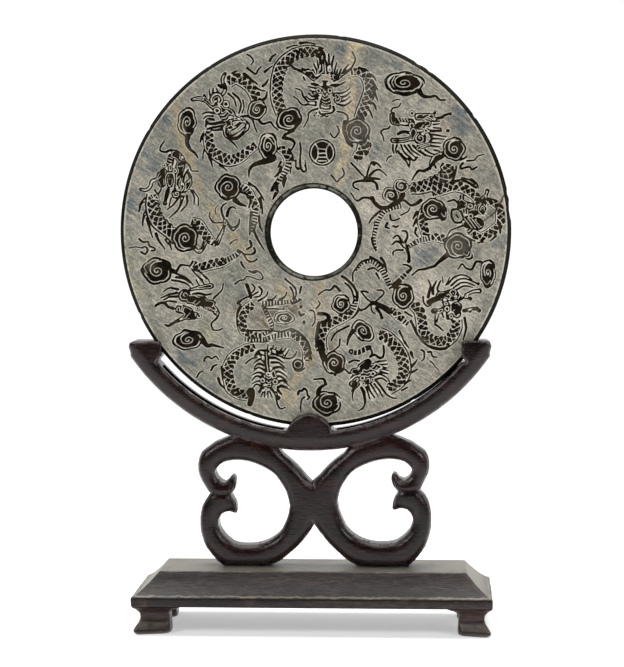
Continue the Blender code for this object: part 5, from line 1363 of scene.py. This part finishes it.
def build_foot(name, x_side, y_side):
    """One hoof foot under a corner of the slab."""
    rings = []
    corner_x, corner_y = SLAB_SHIFT + x_side * SLAB_WIDTH / 2, y_side * SLAB_DEPTH / 2
    steps = np.linspace(0, 1, 7)
    for share, outer_share, inner_share in foot_sections():
        outer = FOOT_WAIST * max(outer_share, 0.12)
        inner = FOOT_LENGTH + FOOT_WING * inner_share
        across = inner + (FRONT_LEFT_EXTRA if (x_side, y_side) == (-1, -1) else 0)
        turn = FOOT_TOE_TURN * (1 - share)
        corners = np.array([(outer, outer), (across, outer + turn), (across, inner), (outer + turn, inner)])
        ring = []
        for index, here in enumerate(corners):
            before, after = corners[index - 1], corners[(index + 1) % 4]
            radius = (3.2 if index else 2.6) * MM + 3.4 * MM * max(0, 1 - share / 0.34)
            start, end = towards(here, before, radius), towards(here, after, radius)
            back = towards(after, here, 3 * MM)
            ring.extend(start * (1 - t) ** 2 + 2 * here * t * (1 - t) + end * t ** 2 for t in steps)
            ring.extend(end * (1 - t) + back * t for t in steps[1:-1])
        rings.append([(corner_x - x_side * x, corner_y - y_side * y, FOOT_HEIGHT * share) for x, y in ring])
    if x_side * y_side < 0:
        rings = [ring[::-1] for ring in rings]
    return loft(name, rings, 50)


class Signal:
    """A shader socket that ordinary arithmetic works on."""

    def __init__(self, finish, socket):
        self.finish = finish
        self.socket = socket

    def math(self, operation, *others):
        return self.finish.node("ShaderNodeMath", {"operation": operation}, dict(enumerate((self,) + others)))

    def __add__(self, other):
        return self.math("ADD", other)

    __radd__ = __add__

    def __sub__(self, other):
        return self.math("SUBTRACT", other)

    def __rsub__(self, other):
        return self.finish.node("ShaderNodeMath", {"operation": "SUBTRACT"}, {0: other, 1: self})

    def __mul__(self, other):
        return self.math("MULTIPLY", other)

    __rmul__ = __mul__

    def __truediv__(self, other):
        return self.math("DIVIDE", other)

    def __abs__(self):
        return self.math("ABSOLUTE")

    def __or__(self, other):
        """The larger of two."""
        return self.math("MAXIMUM", other)

    def step(self, low, high):
        """0 below low and 1 above high, smooth between them; falls where low is the larger."""
        return self.finish.node("ShaderNodeMapRange", {"interpolation_type": "SMOOTHSTEP"},
                                {"Value": self, "From Min": low, "From Max": high})


class Finish:
    """The nodes of a material or of the room's light, and the few ways in which they are made."""

    def __init__(self, owner, shader="Principled BSDF", place="Object"):
        owner.use_nodes = True
        self.owner = owner
        self.tree = owner.node_tree
        self.shader = self.tree.nodes[shader]
        self.place = self.node("ShaderNodeTexCoord", output=place)

    def node(self, kind, settings=None, sockets=None, output=0):
        """Make a node: its settings first, then the values or links of its sockets."""
        node = self.tree.nodes.new(kind)
        for name, value in (settings or {}).items():
            setattr(node, name, value)
        self.feed(node, sockets or {})
        return Signal(self, node.outputs[output])

    def feed(self, node, sockets):
        """Link or set sockets of a node."""
        for name, value in sockets.items():
            if isinstance(value, Signal):
                self.tree.links.new(value.socket, node.inputs[name])
            else:
                node.inputs[name].default_value = value

    def finished(self, **sockets):
        """Feed the main shader's sockets, named with underscores, and give what the nodes belong to."""
        self.feed(self.shader, {name.replace("_", " "): value for name, value in sockets.items()})
        return self.owner

    def mix(self, share, first, second, mode="MIX"):
        """Blend two colours."""
        return self.node("ShaderNodeMix", {"data_type": "RGBA", "blend_type": mode},
                         {0: share, 6: colour(first), 7: colour(second)}, 2)

    def stretched(self, x, y, z, place=None):
        """Coordinates scaled by axis."""
        return self.node("ShaderNodeVectorMath", {"operation": "MULTIPLY"}, {0: place or self.place, 1: (x, y, z)})

    def turned(self, degrees, stretch, place=None):
        """Coordinates turned about Y, then scaled by axis."""
        turned = self.node("ShaderNodeVectorRotate", {"rotation_type": "Y_AXIS"},
                           {"Vector": place or self.place, "Angle": math.radians(degrees)})
        return self.stretched(*stretch, turned)

    def moved(self, place, amount, size):
        """Coordinates pushed about by noise."""
        push = self.node("ShaderNodeTexNoise", {}, {"Vector": place, "Scale": size, "Detail": 3.0}, "Color")
        centred = self.node("ShaderNodeVectorMath", {"operation": "SUBTRACT"}, {0: push, 1: (0.5, 0.5, 0.5)})
        scaled = self.node("ShaderNodeVectorMath", {"operation": "SCALE"}, {0: centred, "Scale": amount})
        return self.node("ShaderNodeVectorMath", {"operation": "ADD"}, {0: place, 1: scaled})

    def grain(self, size, detail=4.0, rough=0.55, place=None):
        """Noise of a size in cycles a metre, about 0.5."""
        return self.node("ShaderNodeTexNoise", {},
                         {"Vector": place or self.place, "Scale": size, "Detail": detail, "Roughness": rough})

    def parts(self, place=None):
        """The x, y and z of some coordinates."""
        split = self.node("ShaderNodeSeparateXYZ", {}, {0: place or self.place})
        return [Signal(self, socket) for socket in split.socket.node.outputs]

    def kept(self, name):
        """A number kept on the mesh's points."""
        return self.node("ShaderNodeAttribute", {"attribute_name": name}, output="Fac")

    def near(self, x, z, reach):
        """1 at a place of the front, 0 beyond a reach, for a smear on the stone."""
        across, _, height = self.drifted
        return ((across - x) * (across - x) + (height - z) * (height - z)).step(reach ** 2, 0)

    def spots(self, places):
        """1 at the middle of each spot of the sheet, 0 beyond its reach."""
        whole = 0.0
        for x, y, reach in np.reshape(places, (-1, 3)).tolist():
            whole = self.near(*at_height([(x, y)])[0], reach * SHEET_UNIT) | whole
        return whole

    def along(self, line, reach):
        """1 along a line through places of the front, 0 beyond a reach."""
        across, _, height = self.drifted
        whole = 0.0
        for (x0, z0), (x1, z1) in zip(line, line[1:]):
            share = ((across - x0) * (x1 - x0) + (height - z0) * (z1 - z0)) / ((x1 - x0) ** 2 + (z1 - z0) ** 2)
            share = share.math("MINIMUM", 1.0) | 0.0
            aside, above = across - x0 - share * (x1 - x0), height - z0 - share * (z1 - z0)
            whole = (aside * aside + above * above).step(reach ** 2, 0) | whole
        return whole

    def bump(self, height, strength, distance):
        """A bump from a height."""
        return self.node("ShaderNodeBump", {}, {"Height": height, "Strength": strength, "Distance": distance})


def colour(value):
    """A colour with its alpha, or the signal that carries one."""
    return value if isinstance(value, Signal) else (*value, 1)


# Stone
GREY_DEEP, GREY_PALE = (0.276, 0.272, 0.236), (0.436, 0.408, 0.352)
BUFF, OCHRE = (0.530, 0.474, 0.398), (0.440, 0.385, 0.318)
MOSS, SLATE, BLUE_GREY = (0.300, 0.315, 0.262), (0.205, 0.208, 0.182), (0.130, 0.155, 0.167)
# A pale painted highlight along the edges of the cuts, and a darker tone where the cuts crowd together
PAINTED_EDGE_HIGHLIGHT, CROWDED_DARK = (0.750, 0.700, 0.605), (0.120, 0.100, 0.075)
CUT_DARK, CUT_BROWN, CUT_WORN = (0.0030, 0.0017, 0.0006), (0.036, 0.024, 0.012), (0.066, 0.050, 0.032)
CRACK_DARK = (0.040, 0.022, 0.012)
RIM_DARK, RIM_WORN = (0.0060, 0.0056, 0.0030), (0.034, 0.033, 0.022)
MOUTH_DARK, MOUTH_GLINT = (0.0085, 0.0075, 0.0045), (0.210, 0.205, 0.165)
# Wood
# Lighter arrises (wear and painted highlight), dust and painted sheen on what faces up, painted light on sloping
# sides
ARRIS_WEAR_AND_HIGHLIGHT, DUST_AND_SHEEN, SIDE_PAINTED_LIGHT = (0.150, 0.125, 0.115), (0.205, 0.190, 0.158), (0.350, 0.325, 0.265)
WHITE = (1, 1, 1, 1)

# Smears on the stone: colour, strength, and each one's x, y and reach on the sheet
SMEARS = [
    ((0.600, 0.545, 0.472), 0.75, (380, 180, 34, 400, 232, 40, 372, 205, 22, 424, 170, 28, 452, 312, 34,
                                   430, 288, 24)),
    ((0.400, 0.330, 0.260), 0.60, (325, 72, 20, 440, 128, 18, 510, 200, 12, 353, 100, 13, 455, 243, 6)),
    ((0.170, 0.130, 0.085), 0.90, (268, 318, 24, 308, 356, 15, 244, 306, 16, 292, 308, 14, 330, 342, 14)),
    ((0.560, 0.490, 0.315), 0.70, (354, 47, 13, 172, 100, 14, 181, 124, 12, 290, 394, 12, 342, 149, 10)),
    ((0.360, 0.350, 0.245), 0.75, (128, 256, 15, 150, 262, 12, 205, 332, 13, 140, 290, 14)),
    ((0.122, 0.152, 0.170), 0.85, (384, 56, 22, 341, 48, 9, 462, 118, 20, 148, 160, 17, 134, 204, 20,
                                   345, 358, 12, 330, 407, 13, 424, 253, 16, 500, 240, 12, 190, 356, 14,
                                   208, 394, 15, 392, 330, 12, 378, 150, 10, 168, 118, 11, 268, 390, 12,
                                   243, 300, 10, 378, 296, 10)),
]
# Veins: colour, strength, half width in pixels of the sheet, and the line
TAN_VEINS = [
    ((0.400, 0.330, 0.215), 0.80, 8, (170, 92, 178, 118, 185, 146, 194, 172, 203, 196, 216, 216, 232, 234, 246, 252,
                                      264, 274, 290, 300)),
    ((0.585, 0.490, 0.335), 0.80, 8, (356, 42, 351, 62, 350, 84, 352, 106, 344, 130, 342, 152, 337, 182)),
    ((0.430, 0.340, 0.225), 0.75, 7, (320, 286, 318, 310, 311, 340, 309, 360, 298, 382, 287, 404)),
]
# Places where the dark has worn out of the cuts: x, y and reach on the sheet
FADED_CUTS = (357, 130, 24, 362, 92, 26, 458, 246, 20, 244, 226, 18, 262, 268, 16, 285, 318, 32, 300, 350, 18)
# The crack by the right edge, on the sheet
CRACK = (505, 197, 499, 206, 492, 213, 484, 222)


def at_height(points):
    """Places of the front face, in metres from the floor."""
    return [(float(x), float(z) + DISC_HEIGHT) for x, z in on_face(points)]


Grains = namedtuple("Grains", "broad blotch fine speck brushed")


def ground_of_stone(finish, grains):
    """The stone's colours with its smears and veins, and how strong the veins are."""
    x, _, _ = finish.parts()
    base = finish.mix(grains.broad.step(0.36, 0.64), GREY_DEEP, GREY_PALE)
    base = finish.mix((x + grains.broad * 0.1).step(0.0, 0.14) * 0.30, base, BUFF)
    base = finish.mix(finish.grain(36, 3).step(0.52, 0.70) * 0.45, base, OCHRE)
    base = finish.mix(finish.grain(44, 3, 0.6).step(0.48, 0.32) * 0.50, base, MOSS)
    base = finish.mix(finish.grain(75, 5, 0.7).step(0.60, 0.36) * 0.65, base, SLATE)
    for smear_colour, strength, spots in SMEARS:
        broken = grains.brushed.step(0.40, 0.58) if strength > 0.8 else grains.blotch.step(0.36, 0.60)
        base = finish.mix(finish.spots(spots) * strength * broken, base, smear_colour)
    base = finish.mix(grains.brushed.step(0.56, 0.68) * grains.blotch.step(0.44, 0.62) * 0.7, base, BLUE_GREY)
    veins = 0.0
    for vein_colour, strength, width, line in TAN_VEINS:
        vein = finish.along(at_height(pairs(line)), width * SHEET_UNIT) * strength
        base = finish.mix(vein * grains.blotch.step(0.34, 0.56), base, vein_colour)
        veins = vein | veins
    return base, veins


def tooth_of_stone(finish, grains, pushed, base):
    """The stone's colours with its specks and slanting brush marks."""
    streaks = finish.grain(1, 4, 0.65, finish.turned(-35, (90, 1, 700)))
    tooth = finish.grain(1, 4, 0.7, finish.turned(-40, (170, 1, 640), pushed))
    for factor, signal, low, high in (
            (0.72, grains.speck.step(0.32, 0.68), (0.58, 0.58, 0.58), (1.38, 1.37, 1.35)),
            (0.75, tooth.step(0.34, 0.66), (0.60, 0.64, 0.68), (1.36, 1.32, 1.24)),
            (0.55, streaks.step(0.38, 0.64), (0.66, 0.68, 0.71), (1.26, 1.24, 1.18))):
        base = finish.mix(factor, base, finish.mix(signal, low, high), "MULTIPLY")
    return base


def carving_on_stone(finish, grains, away, sunk, veins, base):
    """Pale borders of the cuts and of the face as a painted highlight, the dark floors of the cuts, and the crack."""
    # Painted highlight: a pale band just inside the face's edge and along the edges of the cuts
    lip = away.step(FACE_RADIUS - 1.7 * MM, FACE_RADIUS - 0.5 * MM) * grains.fine.step(0.38, 0.52)
    crowded = finish.kept("crowded").step(0.62, 0.90)
    pale = finish.kept("edge_highlight") * (1 - crowded * 0.7) * grains.fine.step(0.34, 0.54) | lip * 0.8
    base = finish.mix(pale * 0.85, base, PAINTED_EDGE_HIGHLIGHT)
    # Darker where the cuts crowd together
    base = finish.mix(crowded * 0.45, base, CROWDED_DARK)
    dark = finish.mix(grains.blotch.step(0.38, 0.68), CUT_DARK, CUT_BROWN)
    dark = finish.mix(grains.speck.step(0.50, 0.74) * 0.55, dark, CUT_WORN)
    worn = veins * 0.25 | finish.grain(30, 4).step(0.60, 0.74) * 0.28 | finish.spots(FADED_CUTS) * 0.34
    base = finish.mix(sunk * (1 - worn), base, dark)
    crack = finish.along(at_height(pairs(CRACK)), 0.9 * MM)
    return finish.mix(crack * 0.85, base, CRACK_DARK)


def rims_of_stone(finish, grains, away, base):
    """The dark rim with its paler middle, and the dark chamfer of the hole with its glint."""
    x, y, z = finish.parts()
    rim = away.step(FACE_RADIUS - 0.15 * MM, FACE_RADIUS + 0.15 * MM)
    middle = abs(away - FACE_RADIUS - 1.5 * MM).step(0.9 * MM, 0.2 * MM) * abs(y).step(3.5 * MM, 4 * MM)
    base = finish.mix(rim, base, finish.mix(middle * grains.blotch.step(0.30, 0.6) * 0.6, RIM_DARK, RIM_WORN))
    across, up = x - HOLE_MIDDLE[0] + 0.1 * MM, z - HOLE_MIDDLE[1] - DISC_HEIGHT - 0.43 * MM
    hole = (across * across + up * up).math("SQRT") - HOLE_MOUTH - 0.43 * MM
    glint = abs(hole + 2.1 * MM).step(1.5 * MM, 0.2 * MM) * grains.broad.step(0.44, 0.58)
    streak = glint * grains.fine.step(0.36, 0.54) | grains.fine.step(0.56, 0.66) * 0.45
    return finish.mix(hole.step(0.15 * MM, -0.15 * MM), base, finish.mix(streak, MOUTH_DARK, MOUTH_GLINT))


def stone_finish():
    """Grey-green stone, smeared blue-grey and tan, near black where it is cut away and on its rims."""
    finish = Finish(bpy.data.materials.new("grey green stone"))
    pushed = finish.moved(finish.place, 0.016, 40)
    finish.drifted = finish.parts(pushed)
    grains = Grains(finish.grain(14, 4), finish.grain(60, 5, 0.62), finish.grain(260, 4, 0.7),
                    finish.grain(700, 3, 0.75), finish.grain(1, 5, 0.7, finish.turned(-38, (60, 1, 240))))
    x, _, z = finish.parts()
    away = (x * x + (z - DISC_HEIGHT) * (z - DISC_HEIGHT)).math("SQRT")
    sunk = finish.kept("sunk").step(0.30, 0.85)
    base, veins = ground_of_stone(finish, grains)
    base = tooth_of_stone(finish, grains, pushed, base)
    base = carving_on_stone(finish, grains, away, sunk, veins, base)
    base = rims_of_stone(finish, grains, away, base)
    return finish.finished(Base_Color=base, Roughness=0.66 - sunk * 0.12 + (grains.speck - 0.5) * 0.2,
                           Specular_IOR_Level=0.06,
                           Normal=finish.bump(grains.speck * 0.6 + finish.grain(1300, 2) * 0.6, 0.45, 0.25 * MM))


def wood_finish(name, dark, light, worn, gloss, dust_and_sheen, bands=(), sides=0.0):
    """Dark hardwood with its grain along X, arrises lighter as wear and a painted highlight, and what faces up
    lighter as dust and as a painted reflection of the overhead lamp.

    Gloss is the lowest roughness and the specular level. Dust and sheen has its strength and the upward shares
    where it starts and is full. Bands are heights that are worn lighter or chipped darker.
    Sides are the strength with which the sloping ends are painted paler, a painted light.
    """
    finish = Finish(bpy.data.materials.new(name))
    drifted = finish.moved(finish.place, 0.006, 20)
    rings = finish.grain(1, 4, 0.6, finish.stretched(6, 60, 110, drifted))
    pores = finish.grain(1, 3, 0.7, finish.stretched(60, 900, 1100, drifted))
    fibres = finish.grain(1, 5, 0.75, finish.stretched(110, 420, 620, drifted))
    patches = finish.grain(30, 5, 0.65)
    scuffs = finish.grain(160, 4, 0.7)
    base = finish.mix(rings.step(0.35, 0.70), dark, light)
    base = finish.mix(pores.step(0.54, 0.70) * 0.6, base, [share * 0.35 for share in dark])
    base = finish.mix(patches.step(0.58, 0.72) * 0.55, base, worn)
    fibre_tone = finish.mix(fibres.step(0.34, 0.68), (0.45, 0.42, 0.42), (1.90, 1.80, 1.78))
    base = finish.mix(0.9, base, fibre_tone, "MULTIPLY")
    # Lighter arrises: partly wear, partly a painted highlight
    edge = finish.kept("arris") * scuffs.step(0.34, 0.60)
    base = finish.mix(edge * 0.60, base, ARRIS_WEAR_AND_HIGHLIGHT)
    sideways, _, upward = finish.parts(finish.node("ShaderNodeNewGeometry", output="Normal"))
    strength, low, high = dust_and_sheen
    # What faces up is painted lighter: dust, and a painted reflection of the overhead lamp
    base = finish.mix(upward.step(low, high) * scuffs.step(0.20, 0.55) * strength, base, DUST_AND_SHEEN)
    if sides:
        # Painted light: the sloping ends that face sideways are painted paler, broken up by scuffs
        slope = abs(sideways).step(0.40, 0.70) * upward.step(0.15, 0.45) * scuffs.step(0.15, 0.50)
        base = finish.mix(slope * sides, base, SIDE_PAINTED_LIGHT)
    _, _, height = finish.parts()
    for level, half, share, tone in bands:
        line = abs(height - level + (scuffs - 0.5) * 2.4 * MM).step(half, half * 0.2)
        base = finish.mix(line * patches.step(0.34, 0.52) * share, base, tone)
    roughness, shine = gloss
    relief = pores * 0.6 + rings * 0.4 + scuffs * 0.5 + fibres * 0.9
    return finish.finished(Base_Color=base, Roughness=roughness + rings * 0.08 + scuffs * 0.18,
                           Specular_IOR_Level=shine, Normal=finish.bump(relief, 0.40, 0.5 * MM))


def floor_finish():
    """A white table top that fades into the white backdrop."""
    finish = Finish(bpy.data.materials.new("white table"))
    x, y, _ = finish.parts()
    away = (x * x + y * y).math("SQRT")
    return finish.finished(Base_Color=(0.86, 0.86, 0.86, 1), Roughness=0.9, Alpha=away.step(*TABLE_FADE),
                           Specular_IOR_Level=0.1, Emission_Color=WHITE, Emission_Strength=0.40)


def build_floor():
    """The table top."""
    item = add_shape("floor", bmesh.ops.create_circle, segments=96, radius=TABLE_RADIUS)
    item.data.materials.append(floor_finish())


def add_softbox(name, place, aim, width, height, power):
    """A soft rectangular lamp turned at a point."""
    light = bpy.data.lights.new(name, "AREA")
    light.shape = "RECTANGLE"
    light.size, light.size_y = width, height
    light.energy = power
    item = add_item(name, light)
    item.location = place
    item.rotation_euler = (Vector(aim) - Vector(place)).to_track_quat("-Z", "Y").to_euler()


def build_lights():
    """Soft lamps from above, the left and the right, in a dim room with a white backdrop."""
    add_softbox("overhead", (0, 0.25, 2.0), (0, 0, 0.2), 1.8, 1.2, 44)
    add_softbox("front left", (-1.5, -1.5, 1.5), (0, 0, 0.25), 0.7, 0.7, 20.5)
    add_softbox("front right", (1.8, -1.3, 1.3), (0, 0, 0.25), 0.7, 0.8, 17)
    room = Finish(bpy.data.worlds.new("studio"), "Background", "Generated")
    bpy.context.scene.world = room.owner
    _, depth, _ = room.parts()
    lit = room.node("ShaderNodeMapRange", {}, {"Value": depth, "From Min": 0.0, "From Max": 0.7, "To Min": 0.05,
                                               "To Max": 0.95})
    seen = room.node("ShaderNodeLightPath", output="Is Camera Ray")
    room.finished(Color=WHITE, Strength=room.node("ShaderNodeMix", {}, {0: seen, 2: lit, 3: 1.1}))
    bpy.context.scene.view_settings.view_transform = "Standard"


def build_camera():
    """The camera at the photograph's angle."""
    data = bpy.data.cameras.new("camera")
    data.sensor_fit = "HORIZONTAL"
    data.sensor_width = SENSOR_WIDTH
    data.lens = FOCAL_PIXELS / IMAGE_WIDTH * SENSOR_WIDTH
    data.clip_start, data.clip_end = 0.05, 50
    right, up, forward = camera_axes()
    item = add_item("camera", data)
    item.matrix_world = Matrix.Translation(CAMERA_PLACE) @ Matrix((right, up, -forward)).transposed().to_4x4()
    bpy.context.scene.camera = item


def dress(item, node, material):
    """Give a piece its finish and let it stand for its solid."""
    item.data.materials.clear()
    item.data.materials.append(material)
    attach(item, "root")
    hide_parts(node)


def main():
    """Build the camera, the light and every piece."""
    build_camera()
    build_floor()
    build_lights()
    stand_wood = wood_finish("dark hardwood", dark=(0.0045, 0.0015, 0.0013), light=(0.0170, 0.0058, 0.0046),
                             worn=(0.070, 0.026, 0.017), gloss=(0.11, 0.36), dust_and_sheen=(0.10, 0.84, 0.98))
    slab_arris = SLAB_BOTTOM + SLAB_FASCIA
    slab_top = slab_arris + SLAB_BEVEL_HEIGHT
    slab_wood = wood_finish("worn hardwood", dark=(0.013, 0.0088, 0.0080), light=(0.040, 0.029, 0.025),
                            worn=(0.090, 0.062, 0.048), gloss=(0.24, 0.30), dust_and_sheen=(0.80, 0.84, 0.98),
                            bands=[(slab_arris + 0.5 * MM, 0.7 * MM, 0.8, (0.26, 0.23, 0.19)),
                                   (slab_arris - 0.9 * MM, 0.8 * MM, 0.9, (0.0040, 0.0032, 0.0026)),
                                   (slab_top - 0.2 * MM, 0.8 * MM, 0.6, (0.24, 0.21, 0.175))], sides=0.62)
    foot_wood = wood_finish("reddish hardwood", dark=(0.016, 0.0090, 0.0080), light=(0.046, 0.026, 0.022),
                            worn=(0.110, 0.068, 0.052), gloss=(0.20, 0.36), dust_and_sheen=(0.55, 0.25, 0.60),
                            bands=[(0.5 * MM, 2.4 * MM, 0.6, (0.15, 0.120, 0.100))])
    dress(build_disc(), "bi_disc", stone_finish())
    dress(build_scroll_cradle(), "scroll_cradle", stand_wood)
    dress(build_slab(), "base_slab", slab_wood)
    for depth, y_side in (("front", -1), ("back", 1)):
        for hand, x_side in (("left", -1), ("right", 1)):
            foot = build_foot(f"hoof_{depth}_{hand}", x_side, y_side)
            dress(foot, f"foot_{depth}_{hand}", foot_wood)


main()
